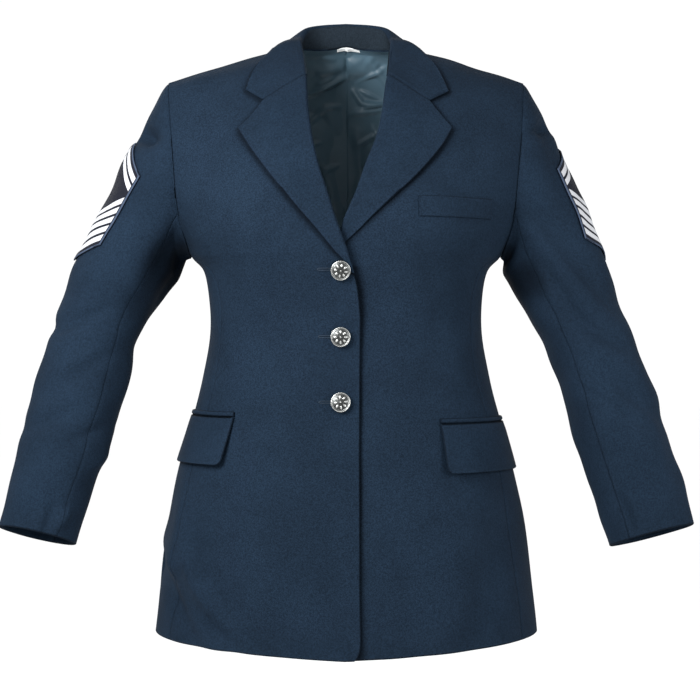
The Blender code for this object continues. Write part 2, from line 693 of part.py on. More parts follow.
def sleeve_row_at(side, angle, z):
    """The row where the sleeve at this angle comes down to a height, found by halving."""
    low, high = np.full(np.shape(z), 0.05), np.full(np.shape(z), 5.0)
    for _ in range(30):
        middle = (low + high) / 2
        above = sleeve_plain(side, middle, angle)[..., 2] > z
        low, high = np.where(above, middle, low), np.where(above, high, middle)
    return (low + high) / 2


def make_patch(side):
    across, up = np.linspace(0, 1, 9), np.linspace(0, 1, 9)[:, None]
    angles = between(*PATCH_FRONT[side], up) + PATCH_SPAN * across
    share = np.abs(2 * across - 1)
    foot, top = (between(middle, edge, share) for edge, middle in (PATCH_FOOT[side], PATCH_TOP[side]))
    rows = sleeve_row_at(side, angles, between(foot, top, up))
    outer, normals = sleeve_surface(side, rows, angles, PATCH_GAP + PATCH_WALL)
    wall(f"sleeve_patch_{SIDE_NAMES[side]}", outer, outer - normals * PATCH_WALL, EMBROIDERY)


# Lapels and collar


def lapel_grid(side, rows, columns):
    """Middle surface of a lapel: the roll round the front's edge, then the flap out to the lapel's edge."""
    low = read_rows(LAPEL_ROWS[: LAPEL_TIP + 1], np.minimum(rows, LAPEL_TIP))
    high = read_rows(LAPEL_ROWS[LAPEL_TIP:], rows - LAPEL_TIP)
    roll_x, roll_z, outer_x, outer_z = np.where((rows > LAPEL_TIP)[:, None], high, low).T
    roll_x, outer_x = -roll_x - lapel_shift(side, roll_z), -outer_x
    width = np.hypot(outer_x - roll_x, outer_z - roll_z)
    turn = np.radians(np.linspace(-ROLL_TURN, ROLL_TURN, ROLL_STEPS))
    places = [ROLL_RADIUS * (1 - math.cos(t)) / width for t in turn]
    heights = [ROLL_RADIUS * (1 + math.sin(t)) - BODY_WALL / 2 for t in turn]
    rolled, crest = places[-1], heights[-1]
    for part in np.linspace(0, 1, columns)[1:]:
        places.append(between(rolled, 1.0, part))
        heights.append(between(LAPEL_EDGE_HEIGHT, crest, math.cos(part * math.pi / 2) ** LAPEL_DROOP))
    places = np.stack(places, 1)
    x = roll_x[:, None] + (outer_x - roll_x)[:, None] * places
    z = roll_z[:, None] + (outer_z - roll_z)[:, None] * places
    return on_front(side, x, z, np.array(heights))


def grid_normals(points, like):
    """Normals of a grid of points, turned the way of `like` on the whole."""
    down = np.gradient(points, axis=0)
    over = np.gradient(points, axis=1)
    normals = unit(np.cross(down, over))
    return normals if np.sum(normals[:, -1] * like[:, -1]) > 0 else -normals


def make_lapel(side):
    rows = np.concatenate([np.linspace(LAPEL_START[side], LAPEL_TIP, 10), np.linspace(LAPEL_TIP, LAPEL_TOP, 3)[1:]])
    middle, guide = lapel_grid(side, rows, 6)
    normals = grid_normals(middle, guide)
    gaps = (0, SEAM_GAP / 2, 0, 0)
    cloth_wall(f"lapel_{SIDE_NAMES[side]}", middle + normals * LAPEL_WALL / 2, normals, LAPEL_WALL, gaps, NAVY)


def collar_lines(side):
    """The roll's centre, the outer edge, and the ways up and out at each, from the gorge to the middle back."""
    flip = (side, 1, 1)
    roll_x, roll_z, _, _ = LAPEL_ROWS[-1]
    gorge, gorge_normal = on_front(side, ROLL_RADIUS - roll_x, roll_z, ROLL_RADIUS - BODY_WALL / 2)
    fold = np.vstack([gorge * flip, np.array(COLLAR_FOLD)])
    edge = [on_front(side, x, z, COLLAR_EDGE_HEIGHT)[0] * flip for x, z in (COLLAR_TIP, *COLLAR_FRONT_EDGE)]
    edge += [on_back(side, x, row, COLLAR_EDGE_HEIGHT)[0] * flip for x, row in COLLAR_BACK_EDGE]
    part = np.linspace(0, 1, COLLAR_COUNT)
    fold = read_rows(fold, part * (len(fold) - 1)) * flip
    edge = read_rows(np.array(edge), part * (len(edge) - 1)) * flip
    upright = step(part / UPRIGHT_PART)[:, None]
    up = unit(between(gorge_normal * flip, np.array([0.0, 0.0, 1.0]), upright)) * flip
    out = edge - fold
    out = unit(out - up * np.sum(out * up, -1, keepdims=True))
    return fold, edge, up, out, part


def body_height(side, x, y):
    """How high the body's surface lies under a point of the collar."""
    first_front, first_back = SHOULDER_ROWS
    front_row = find_row(FRONT_ROWS, side, x, np.minimum(y, SHOULDER_Y), 1, first_front, FRONT_TOP)
    back_row = find_row(BACK_ROWS, side, x, np.maximum(y, SHOULDER_Y), 1, first_back, BACK_TOP)
    front = body_plain(FRONT_ROWS, side, front_row, across_at(FRONT_ROWS, front_row, x))[..., 2]
    back = body_plain(BACK_ROWS, side, back_row, across_at(BACK_ROWS, back_row, x))[..., 2]
    return np.where(y < SHOULDER_Y, front, back)


def collar_half(side, columns):
    """Middle surface of half the collar: over the roll and down the fall."""
    fold, edge, up, out, part = collar_lines(side)
    turns = np.radians([180.0, 150.0, 120.0, 90.0, 60.0])
    points = [fold + FOLD_RADIUS * (math.cos(t) * out + math.sin(t) * up) for t in turns]
    start = points[-1]
    control = (start + edge) / 2 + unit(out + up) * COLLAR_CROWN
    notch, _ = on_front(side, *NOTCH, NOTCH_HEIGHT)
    straight = between(start[0], edge[0], NOTCH_PART)
    for share in np.linspace(0, 1, columns)[1:]:
        curve = start * (1 - share) ** 2 + control * 2 * share * (1 - share) + edge * share**2
        # At the front end the collar follows the gorge out to the notch before it turns up to its tip
        bend = min(share / NOTCH_PART, (1 - share) / (1 - NOTCH_PART))
        points.append(curve + (notch - straight) * bend * np.clip(1 - part / NOTCH_REACH, 0, 1)[:, None])
    points = np.stack(points, 1)
    flap = points[:, len(turns) :]
    floor = body_height(side, flap[..., 0] * side, flap[..., 1]) + COLLAR_FLOOR
    flap[..., 2] = np.maximum(flap[..., 2], floor)
    return points


def make_collar():
    right, left = (collar_half(side, 6) for side in (RIGHT, LEFT))
    middle = np.concatenate([right, left[-2::-1]])
    normals = grid_normals(middle, np.broadcast_to((0.0, 0.0, 1.0), middle.shape))
    gaps = (SEAM_GAP, SEAM_GAP, 0, 0)
    cloth_wall("collar_fall", middle + normals * COLLAR_WALL / 2, normals, COLLAR_WALL, gaps, NAVY)


def stand_half(side):
    """The stand's inner face, from just under the roll down to the neck seam, and the way out of it."""
    fold, _, up, out, part = collar_lines(side)
    top = fold - out * (FOLD_RADIUS + COLLAR_WALL / 2) - up * STAND_GAP
    places, across, rows = np.array(STAND_FOOT).T
    neck_x, neck_row = np.interp(part, places, across), np.interp(part, places, rows)
    seam = on_back(side, neck_x, np.maximum(neck_row, BACK_NECK_ROW), -STAND_SINK)[0] + (0, 0, STAND_RISE)
    leave, length = STAND_LEAVE
    foot = between(top - up * STAND_DROP, seam, step((part - leave) / length)[:, None])
    return np.stack([between(top, foot, down) for down in np.linspace(0, 1, 4)], 1), out


def make_stand():
    (right, right_out), (left, left_out) = (stand_half(side) for side in (RIGHT, LEFT))
    inner_face = np.concatenate([right, left[-2::-1]])
    outward = np.concatenate([right_out, left_out[-2::-1]])[:, None]
    wall("collar_stand", inner_face, inner_face + outward * STAND_WALL, NAVY_DEEP)


# Pockets, buttons, lining and label


def wrap_strip(side, front_x, z, back_end, columns):
    """A line that starts on the front at x and wraps round the side: its row, and places across it."""
    row = find_row(FRONT_ROWS, side, front_x, z, 2, 0, FRONT_TOP)
    start = across_at(FRONT_ROWS, row, front_x)
    return float(row), np.linspace(float(start), 2.0 - back_end, columns)


def strip_surface(side, row, reach, height):
    """Points at `reach` across: up to 1 on the front, and past 1 on the back."""
    front, front_normal = body_surface(FRONT_ROWS, side, row, np.minimum(reach, 1.0), height)
    back, back_normal = body_surface(BACK_ROWS, side, row, np.minimum(2.0 - reach, 1.0), height)
    behind = (reach > 1.0)[..., None]
    return np.where(behind, back, front), np.where(behind, back_normal, front_normal)


def make_pocket(side):
    top_x, foot_x, top_z, height, back_end = FLAPS[side]
    levels, columns = 6, 9
    outer, normals = [], []
    for part in np.linspace(0, 1, levels):
        row, reach = wrap_strip(side, between(top_x, foot_x, part), top_z - height * part, back_end, columns)
        share = np.clip(1 - (reach - reach[0]) / (reach[-1] - reach[0]) * FLAP_FADE, FLAP_LEAST, 1)
        stand = FLAP_TOP_STAND + FLAP_FOOT_STAND * part**1.5 * share
        points, normal = strip_surface(side, row, reach, stand + FLAP_WALL)
        outer.append(points)
        normals.append(normal)
    outer, normals = np.array(outer), np.array(normals)
    wall(f"pocket_flap_{SIDE_NAMES[side]}", outer, outer - normals * FLAP_WALL, NAVY)
    outer, normals = [], []
    for part in (0.0, 1.0):
        row, reach = wrap_strip(side, top_x, top_z + JET_CLEARANCE + JET_HEIGHT * part, back_end, columns)
        points, normal = strip_surface(side, row, reach, LAYER_GAP + JET_WALL)
        outer.append(points)
        normals.append(normal)
    outer, normals = np.array(outer), np.array(normals)
    wall(f"pocket_jet_{SIDE_NAMES[side]}", outer, outer - normals * JET_WALL, NAVY_DEEP)


def make_welt():
    x_from, x_to, top, foot = WELT
    x, z = np.meshgrid(np.linspace(x_from, x_to, 8), np.linspace(foot, top, 3))
    outer, normals = on_front(LEFT, x, z, LAYER_GAP + WELT_WALL)
    wall("breast_welt", outer, outer - normals * WELT_WALL, NAVY)


def make_buttons():
    for number, z in enumerate(BUTTON_Z, 1):
        place, normal = on_front(RIGHT, -BUTTON_X, z)
        mesh = bmesh.new()
        outline = [mesh.verts.new((radius, 0.0, height)) for radius, height in BUTTON_OUTLINE]
        edges = [mesh.edges.new(pair) for pair in zip(outline, outline[1:])]
        bmesh.ops.spin(
            mesh, geom=outline + edges, cent=(0, 0, 0), axis=(0, 0, 1), angle=2 * math.pi,
            steps=BUTTON_SIDES, use_merge=True, use_duplicate=False,
        )
        bmesh.ops.remove_doubles(mesh, verts=mesh.verts[:], dist=0.00001)
        bmesh.ops.triangulate(mesh, faces=mesh.faces[:])
        local = np.array([vertex.co[:] for vertex in mesh.verts])
        triangles = np.array([[corner.index for corner in face.verts] for face in mesh.faces])
        mesh.free()
        right = unit(np.cross(normal, (0.0, 0.0, 1.0)))
        up = np.cross(right, normal)
        frame = np.stack([right, up, normal])
        add_object(f"button_{number}", local @ frame + place, triangles, PEWTER)


def make_lining():
    rows = np.concatenate([seam_rows(BACK_SEAM_TOP)[3:], [11.6, 12.4, 13.2, 14.0, 14.6, LINING_TOP]])
    first, last = LINING_WIDENS
    reach = between(*LINING_REACH, step((rows - first) / (last - first)))
    across = reach[:, None] * np.linspace(0, 1, 6)
    halves = []
    for side in (RIGHT, LEFT):
        halves.append(body_surface(BACK_ROWS, side, rows[:, None], across, -BODY_WALL - LINING_GAP))
    points = np.concatenate([halves[0][0][:, ::-1], halves[1][0][:, 1:]], 1)
    normals = np.concatenate([halves[0][1][:, ::-1], halves[1][1][:, 1:]], 1)
    wall("lining_back", points, points - normals * LINING_WALL, SATIN)


def make_label():
    x_from, x_to, foot, top = LABEL
    x, z = np.meshgrid(np.linspace(x_from, x_to, 5), np.linspace(foot, top, 3))
    row = find_row(BACK_ROWS, LEFT, np.abs(x), z, 2, 12.0, LINING_TOP)
    sink = BODY_WALL + LINING_GAP + LINING_WALL + LAYER_GAP
    across = across_at(BACK_ROWS, row, np.abs(x)) * np.sign(x)
    points, normals = body_surface(BACK_ROWS, LEFT, row, across, -sink)
    wall("neck_label", points, points - normals * LABEL_WALL, LABEL_WHITE)


def main():
    clear_scene()
    for side in (RIGHT, LEFT):
        make_front(side)
        make_side(side)
        make_back(side)
        make_sleeve(side)
        make_lapel(side)
        make_pocket(side)
        make_patch(side)
    make_collar()
    make_stand()
    make_welt()
    make_buttons()
    make_lining()
    make_label()


main()
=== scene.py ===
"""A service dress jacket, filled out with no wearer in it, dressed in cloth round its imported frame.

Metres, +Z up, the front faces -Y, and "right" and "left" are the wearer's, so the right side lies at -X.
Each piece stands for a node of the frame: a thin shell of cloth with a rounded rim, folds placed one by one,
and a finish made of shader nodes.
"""

import logging
import math
from abc import ABC, abstractmethod
from collections.abc import Callable, Sequence
from dataclasses import dataclass
from enum import Enum
from typing import ClassVar

import bpy
import numpy as np
from mathutils import Matrix, Vector


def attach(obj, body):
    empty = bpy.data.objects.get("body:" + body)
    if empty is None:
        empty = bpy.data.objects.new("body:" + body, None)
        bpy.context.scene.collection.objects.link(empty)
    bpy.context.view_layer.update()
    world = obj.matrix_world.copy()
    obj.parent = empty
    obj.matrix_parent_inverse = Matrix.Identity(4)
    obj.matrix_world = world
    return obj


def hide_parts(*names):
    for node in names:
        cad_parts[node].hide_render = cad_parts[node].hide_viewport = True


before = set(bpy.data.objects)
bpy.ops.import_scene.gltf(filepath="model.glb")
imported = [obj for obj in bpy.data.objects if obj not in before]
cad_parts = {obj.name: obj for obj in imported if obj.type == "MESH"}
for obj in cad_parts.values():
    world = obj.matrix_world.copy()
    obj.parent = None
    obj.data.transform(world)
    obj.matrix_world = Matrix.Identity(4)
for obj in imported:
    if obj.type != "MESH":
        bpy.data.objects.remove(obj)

Array = np.ndarray
Gaps = tuple[float, float, float, float]
Sewn = tuple[bool, bool, bool, bool]
Colour = tuple[float, float, float]
Socket = bpy.types.NodeSocket
Sockets = bpy.types.bpy_prop_collection
Thing = bpy.types.Object

log = logging.getLogger("jacket")

BODY = "root"
SEED = 7
MILLIMETRE = 0.001

# Cloth thicknesses and clearances
BODY_WALL = 0.0020
COLLAR_WALL = 0.0022
FLAP_WALL = 0.0024
PATCH_WALL = 0.0014
LINING_WALL = 0.0010
LABEL_WALL = 0.0008
WELT_WALL = 0.0016
JET_WALL = 0.0019
SEAM_GAP = 0.0003
SEAM_OVERLAP = -0.0003
ARMHOLE_GAP = -0.0006
LAYER_GAP = 0.0002
PATCH_GAP = 0.0014
LINING_GAP = 0.0018

# How often a range is halved to find a place on a surface
HALVINGS = 26
# Distance between the points of the cloth
CELL = 0.0042
# A facing wider than any piece, for pieces with no lining
UNLINED = 1.0
BACKS = ("back_right", "back_left")

# How full the body's cross section is, and how the shoulder line slopes
FULLNESS = 1.2
SLOPE = 1.143

# Rows of the front and back from hem to shoulder: the side or armhole edge, the middle, and the turn in
# degrees
#    edge x,  edge y,  edge z,  middle y, middle z, turn
FRONT_ROWS = (
    (0.2160, 0.000, -0.657, -0.140, -0.671, 90.0),
    (0.2095, 0.000, -0.592, -0.139, -0.598, 90.0),
    (0.2005, 0.000, -0.530, -0.135, -0.533, 90.0),
    (0.1885, 0.000, -0.470, -0.130, -0.471, 90.0),
    (0.1740, 0.000, -0.418, -0.126, -0.418, 90.0),
    (0.1620, 0.000, -0.372, -0.122, -0.372, 90.0),
    (0.1545, 0.000, -0.330, -0.120, -0.330, 90.0),
    (0.1545, 0.000, -0.290, -0.124, -0.290, 90.0),
    (0.1600, 0.000, -0.2535, -0.131, -0.2520, 90.0),
    (0.1745, 0.000, -0.235, -0.134, -0.230, 90.0),
    (0.1800, -0.040, -0.215, -0.134, -0.208, 80.0),
    (0.1870, -0.057, -0.180, -0.129, -0.172, 68.0),
    (0.1920, -0.054, -0.130, -0.107, -0.113, 58.0),
    (0.1970, -0.036, -0.080, -0.076, -0.051, 48.0),
    (0.2005, -0.015, -0.050, -0.036, -0.006, 40.0),
    (0.2025, 0.005, -0.036, 0.012, 0.020, 32.0),
)
BACK_ROWS = (
    (0.2160, 0.000, -0.657, 0.135, -0.662, 90.0),
    (0.2095, 0.000, -0.592, 0.134, -0.596, 90.0),
    (0.2005, 0.000, -0.530, 0.131, -0.531, 90.0),
    (0.1885, 0.000, -0.470, 0.125, -0.470, 90.0),
    (0.1740, 0.000, -0.418, 0.115, -0.418, 90.0),
    (0.1620, 0.000, -0.372, 0.101, -0.372, 90.0),
    (0.1545, 0.000, -0.330, 0.089, -0.330, 90.0),
    (0.1545, 0.000, -0.290, 0.088, -0.290, 90.0),
    (0.1600, 0.000, -0.2535, 0.096, -0.252, 90.0),
    (0.1745, 0.000, -0.235, 0.103, -0.230, 90.0),
    (0.1810, 0.042, -0.214, 0.107, -0.206, 80.0),
    (0.1880, 0.064, -0.176, 0.110, -0.166, 66.0),
    (0.1940, 0.063, -0.127, 0.110, -0.115, 56.0),
    (0.1985, 0.046, -0.080, 0.104, -0.062, 48.0),
    (0.2012, 0.025, -0.052, 0.091, -0.018, 42.0),
    (0.2021, 0.014, -0.042, 0.066, 0.0155, 36.0),
    (0.2025, 0.005, -0.036, 0.012, 0.020, 32.0),
)
ARMPIT_ROW = 9
FRONT_TOP = len(FRONT_ROWS) - 1
BACK_TOP = len(BACK_ROWS) - 1

# The bust: x, z, how far it stands out, and its spread across and along
BUST = (0.086, -0.200, 0.013, 0.052, 0.062)

# Seams between the fronts, sides and backs: how far across they start and the row of their top, the row where
# they start to bend to the armhole, and how the side panel's top runs between them
FRONT_SEAM = (0.70, 10.6)
BACK_SEAM = (0.66, 10.8)
SEAM_BEND_ROW = 6.5
SEAM_TOP_BEND = 0.7

# The closure, from the hem up to the break: the heights, and the right front's edge towards the wearer's
# right, with the left front's straight edge underneath
CLOSURE = (
    (-0.6720, -0.6000, -0.4500, -0.3060, -0.2880, -0.2740, -0.2640, -0.2580),
    (-0.0165, -0.0152, -0.0148, -0.0157, -0.0142, -0.0125, -0.0100, -0.0080),
)
UNDER_EDGE = -0.0200
BREAK_Z = {"right": -0.2640, "left": -0.2520}
BREAK_BLEND = 0.012
HEM_Z = -0.6714
HEM_CORNER = 0.022
HEM_CORNER_REACH = 0.010

# How far the under front is set in, by height, and where across it that starts and is full
UNDERLAP_SINK = (
    (-0.660, -0.330, -0.285, -0.250, -0.210, -0.165),
    (0.0038, 0.0052, 0.0084, 0.0084, 0.0056, 0.0000),
)
UNDERLAP_START = 0.070
UNDERLAP_FULL = 0.012
# How far the soft shade under the lapel's and collar's edges reaches, and the closure's, by height
EDGE_SHADOW = 0.0048
CLOSURE_SHADOW = ((-0.660, -0.500, -0.340, -0.290, -0.252), (0.0052, 0.0028, 0.0030, 0.0075, 0.0080))
# The deep shade in each armpit, seen from the front: x, z and reach
ARMPIT_SHADE = ((-0.188, -0.252, 0.036), (0.200, -0.264, 0.024))

# The fronts' edges leave the roll line for the neck seam from this row on, over this many rows
NECK_TURN_ROW = 12.9
NECK_TURN_ROWS = 1.6

# The neck seam on the shoulder and at the back
NECK_X = 0.0700
BACK_NECK_ROW = 15.0
# The neck's inside by distance from the middle: the row that the lining reaches, and how far over it
NECK_INSIDE = (
    (0.000, 0.012, 0.030, 0.050, 0.058),
    (15.00, 15.01, 15.06, 15.25, 15.00),
    (0.0026, 0.0028, 0.0042, 0.0048, 0.0000),
)
# The stand's foot, from the gorge to the middle of the back: the part of the way, x, and the back's row
STAND_FOOT = (
    (0, 0.35, 0.55, 0.8, 1.0),
    (0.0490, NECK_X - 0.008, 0.0520, 0.0280, 0.0),
    (13.6, 15.9, 15.35, 15.08, 15.05),
)

# Lapel rows from the break to the notch, towards the wearer's own side: the roll line, the outer edge, how
# high that edge stands and the radius of the roll
#    roll x,  roll z, outer x, outer z, edge,   radius
LAPEL_ROWS = {
    "right": (
        (-0.0086, -0.2600, -0.0064, -0.2588, 0.0010, 0.0010),
        (-0.0045, -0.2470, 0.0010, -0.2468, 0.0012, 0.0015),
        (0.0007, -0.2300, 0.0124, -0.2350, 0.0015, 0.0024),
        (0.0124, -0.1985, 0.0300, -0.2150, 0.0018, 0.0029),
        (0.0210, -0.1710, 0.0530, -0.1890, 0.0022, 0.0030),
        (0.0298, -0.1430, 0.0776, -0.1586, 0.0032, 0.0030),
        (0.0371, -0.1090, 0.1012, -0.1264, 0.0044, 0.0030),
        (0.0413, -0.0775, 0.1160, -0.1030, 0.0040, 0.0030),
        (0.0424, -0.0590, 0.1020, -0.0880, 0.0032, 0.0030),
        (0.0433, -0.0415, 0.0895, -0.0695, 0.0026, 0.0030),
    ),
    "left": (
        (-0.0126, -0.2390, -0.0060, -0.2308, 0.0010, 0.0011),
        (-0.0088, -0.2255, 0.0044, -0.2213, 0.0010, 0.0011),
        (-0.0050, -0.2125, 0.0150, -0.2115, 0.0012, 0.0014),
        (-0.0003, -0.1985, 0.0290, -0.1983, 0.0016, 0.0020),
        (0.0122, -0.1710, 0.0545, -0.1758, 0.0024, 0.0028),
        (0.0217, -0.1430, 0.0800, -0.1505, 0.0036, 0.0030),
        (0.0342, -0.1090, 0.1018, -0.1238, 0.0048, 0.0030),
        (0.0407, -0.0775, 0.1140, -0.1025, 0.0044, 0.0030),
        (0.0427, -0.0590, 0.1030, -0.0880, 0.0034, 0.0030),
        (0.0455, -0.0415, 0.0905, -0.0698, 0.0026, 0.0030),
    ),
}
LAPEL_TIP = 7
LAPEL_TOP = 9
LAPEL_WALL = 0.0018

# The collar's fold, from the gorge to the middle of the back: the centre of its roll
#    x,      y,      z
COLLAR_FOLD = (
    (0.0525, -0.0120, 0.0015),
    (0.0535, 0.0070, 0.0095),
    (0.0530, 0.0320, 0.0165),
    (0.0475, 0.0565, 0.0300),
    (0.0300, 0.0725, 0.0368),
    (0.0000, 0.0780, 0.0395),
)
FOLD_RADIUS = 0.0034
# The collar's outer edge in front, on the front, and behind, on the back: x with z, or x with a row
COLLAR_TIP = {"right": (0.1097, -0.0560), "left": (0.1128, -0.0575)}
COLLAR_FRONT_EDGE = ((0.1030, -0.0335), (0.0890, -0.0120))
COLLAR_BACK_EDGE = ((0.0805, 15.75), (0.0740, 15.3), (0.0600, 14.9), (0.0330, 14.6), (0.0, 14.5))
COLLAR_EDGE_HEIGHT = 0.0028
COLLAR_CROWN = 0.0096

# Sleeve rings from the biceps to the cuff: the centre, the width and depth, and the lean in degrees
#    x,      y,      z,       width,  depth,  lean
SLEEVE_RIGHT = (
    (0.2380, -0.004, -0.2327, 0.1110, 0.128, 26.0),
    (0.2640, -0.012, -0.2768, 0.1005, 0.119, 25.0),
    (0.2815, -0.022, -0.3208, 0.0950, 0.113, 22.0),
    (0.2890, -0.034, -0.3578, 0.0980, 0.110, 20.0),
    (0.2980, -0.047, -0.3930, 0.1005, 0.105, 18.5),
    (0.3075, -0.060, -0.4317, 0.0976, 0.099, 18.0),
    (0.3165, -0.073, -0.4712, 0.0915, 0.093, 18.0),
    (0.3270, -0.085, -0.5111, 0.0865, 0.088, 17.0),
    (0.3340, -0.093, -0.5425, 0.0825, 0.085, 16.5),
)
SLEEVE_LEFT = (
    (0.2302, -0.004, -0.2325, 0.1130, 0.128, 26.0),
    (0.2500, -0.012, -0.2760, 0.1060, 0.119, 25.0),
    (0.2685, -0.022, -0.3193, 0.0960, 0.113, 23.5),
    (0.2806, -0.034, -0.3555, 0.0965, 0.110, 21.0),
    (0.2915, -0.047, -0.3895, 0.0990, 0.105, 19.0),
    (0.3013, -0.060, -0.4290, 0.1000, 0.099, 18.0),
    (0.3108, -0.073, -0.4665, 0.0985, 0.094, 17.5),
    (0.3220, -0.085, -0.5050, 0.0980, 0.089, 17.0),
    (0.3315, -0.093, -0.5420, 0.0940, 0.086, 16.8),
)
CUFF_ROW = len(SLEEVE_RIGHT)
FRONT_SEAM_ANGLE = 54.0
BACK_SEAM_ANGLE = -68.0

# Lower pockets: the front end of the flap at its top and foot, its top, its height, and its back end
FLAPS = {"right": (0.1200, 0.1315, -0.4135, 0.053, 0.92), "left": (0.1005, 0.1065, -0.4205, 0.054, 0.94)}
FLAP_FOOT_STAND = 0.0055
FLAP_CORNER = 0.006
JET_HEIGHT = 0.0054
JET_GAP = 0.0003

# Breast welt: x from, x to, top and foot
WELT = (0.0775, 0.1580, -0.1775, -0.1995)

# Sleeve patches: the front edge's angle round the arm at the foot and the top, how far round they reach, and
# the heights of their foot and top at the edges and in the middle
PATCH_FRONT = {"right": (124.0, 122.0), "left": (131.0, 141.0)}
PATCH_SPAN = 102.0
PATCH_FOOT = {"right": (-0.2260, -0.2420), "left": (-0.2180, -0.2400)}
PATCH_TOP = {"right": (-0.1490, -0.1060), "left": (-0.1390, -0.1080)}

BUTTON_X = -0.0055
BUTTON_Z = (-0.2560, -0.3270, -0.3970)

# How far across the back the lining reaches below the armholes, and at the neck
LINING_SIDE = (0.60, 0.80)
# The neck tape: x from, x to, the rows of the back that it hangs over, and how far up it is tucked
LABEL = (-0.0115, 0.0175, 0.15, 0.0040)


class Side(Enum):
    """A side of the wearer, with the sign of its X."""

    RIGHT = -1
    LEFT = 1

    @property
    def label(self) -> str:
        """The side's name as the nodes spell it."""
        return self.name.lower()


class Face(Enum):
    """A half of the body, with its rows."""

    FRONT = FRONT_ROWS
    BACK = BACK_ROWS

    @property
    def top(self) -> int:
        """The row of the shoulder seam."""
        return len(self.value) - 1

    @property
    def seam(self) -> tuple[float, float]:
        """The seam to the side panel: how far across it starts, and the row where it meets the armhole."""
        return FRONT_SEAM if self is Face.FRONT else BACK_SEAM


def unit(vectors: Array) -> Array:
    """The vectors at length 1."""
    return vectors / np.maximum(np.linalg.norm(vectors, axis=-1, keepdims=True), 1e-12)


def between(first, second, part) -> Array | float:
    """The value that lies a part of the way from the first to the second."""
    return first + (second - first) * part


def ease(part) -> Array:
    """0 below 0, 1 above 1, and a smooth rise between."""
    part = np.clip(part, 0.0, 1.0)
    return part * part * (3.0 - 2.0 * part)


def hermite(start: Array, start_way: Array, end: Array, end_way: Array, part: Array) -> Array:
    """A point of the curve between two places.

    Args:
        start: Where the curve starts.
        start_way: How it leaves there.
        end: Where it ends.
        end_way: How it arrives there.
        part: The part of the way, from 0 to 1.

    Returns:
        The point.
    """
    squared, cubed = part**2, part**3
    return (
        start * (2 * cubed - 3 * squared + 1)
        + start_way * (cubed - 2 * squared + part)
        + end * (3 * squared - 2 * cubed)
        + end_way * (cubed - squared)
    )


def read_rows(table, row) -> Array:
    """Reads a table on a smooth curve through its rows.

    Args:
        table: Rows of numbers.
        row: Row numbers, which need not be whole.

    Returns:
        The columns at each row number.
    """
    rows = np.asarray(table, float)
    row = np.clip(np.asarray(row, float), 0.0, len(rows) - 1.0)
    low = np.minimum(row.astype(int), len(rows) - 2)
    ways = np.gradient(rows, axis=0)
    part = (row - low)[..., None]
    return hermite(rows[low], ways[low], rows[low + 1], ways[low + 1], part)


def steps_for(length: float, cell: float = CELL) -> int:
    """How many points a line of that length takes."""
    return max(3, round(length / cell) + 1)


def turn_of(points: Array, like: Array) -> Array:
    """Normals of a grid of points, turned the way of `like` on the whole."""
    normals = unit(np.cross(np.gradient(points, axis=0), np.gradient(points, axis=1)))
    return normals if np.sum(normals[:, -1] * like[:, -1]) > 0 else -normals


@dataclass(frozen=True)
class Fold:
    """A soft ridge (+) or trough (-), placed as seen from the front."""

    x: float
    z: float
    direction: float
    length: float
    width: float
    depth: float

    def height(self, points: Array) -> Array:
        """How far the fold lifts the cloth at each point."""
        along = (math.cos(math.radians(self.direction)), math.sin(math.radians(self.direction)))
        over, up = points[..., 0] - self.x, points[..., 2] - self.z
        run = over * along[0] + up * along[1]
        off = -over * along[1] + up * along[0]
        return self.depth * np.exp(-((run / self.length) ** 2) - (off / self.width) ** 2)


@dataclass(frozen=True)
class Crease:
    """A crease along a line of (x, z) places seen from the front, fading out at its ends."""

    line: tuple[tuple[float, float], ...]
    width: float
    depth: float
    step: float = 0.0
    step_edge: ClassVar[float] = 0.0008
    step_reach: ClassVar[float] = 6.0

    def height(self, points: Array) -> Array:
        """How far the crease lifts the cloth: a ridge, and a step to the line's right that dies away."""
        places = np.asarray(self.line, float)
        lengths = np.linalg.norm(np.diff(places, axis=0), axis=1)
        starts = np.concatenate([[0.0], np.cumsum(lengths)])
        flat = points[..., [0, 2]]
        best = np.full(flat.shape[:-1], np.inf)
        along = np.zeros_like(best)
        turn = np.zeros_like(best)
        for start, end, length, run in zip(places, places[1:], lengths, starts):
            way = (end - start) / length
            part = np.clip((flat - start) @ way, 0.0, length)
            away = flat - start - part[..., None] * way
            distance = np.linalg.norm(away, axis=-1)
            nearer = distance < best
            best = np.where(nearer, distance, best)
            along = np.where(nearer, (run + part) / starts[-1], along)
            turn = np.where(nearer, np.sign(away[..., 0] * way[1] - away[..., 1] * way[0]), turn)
        fade = np.sin(np.pi * np.clip(0.08 + 0.84 * along, 0, 1)) ** 0.6
        ridge = self.depth * np.exp(-((best / self.width) ** 2))
        shelf = self.step * 0.5 * (1 + turn * (1 - np.exp(-best / self.step_edge)))
        shelf = shelf * np.exp(-best / (self.step_reach * self.width))
        return (ridge - shelf) * fade


class Ripple:
    """A slow unevenness of the cloth, as a sum of seeded waves."""

    def __init__(self, seed: int, shortest: float, longest: float, depth: float, count: int = 14) -> None:
        """Draws the waves.

        Args:
            seed: Seed of the random numbers.
            shortest: Shortest wave length.
            longest: Longest wave length.
            depth: Height of the sum, near enough.
            count: Number of waves.
        """
        rng = np.random.default_rng(seed)
        ways = unit(rng.normal(size=(count, 3)))
        self.ways = ways * (2 * np.pi / rng.uniform(shortest, longest, (count, 1)))
        self.starts = rng.uniform(0, 2 * np.pi, count)
        self.depth = depth / math.sqrt(count / 2)

    def height(self, points: Array) -> Array:
        """How far the waves lift the cloth at each point."""
        return np.sin(points @ self.ways.T + self.starts).sum(-1) * self.depth


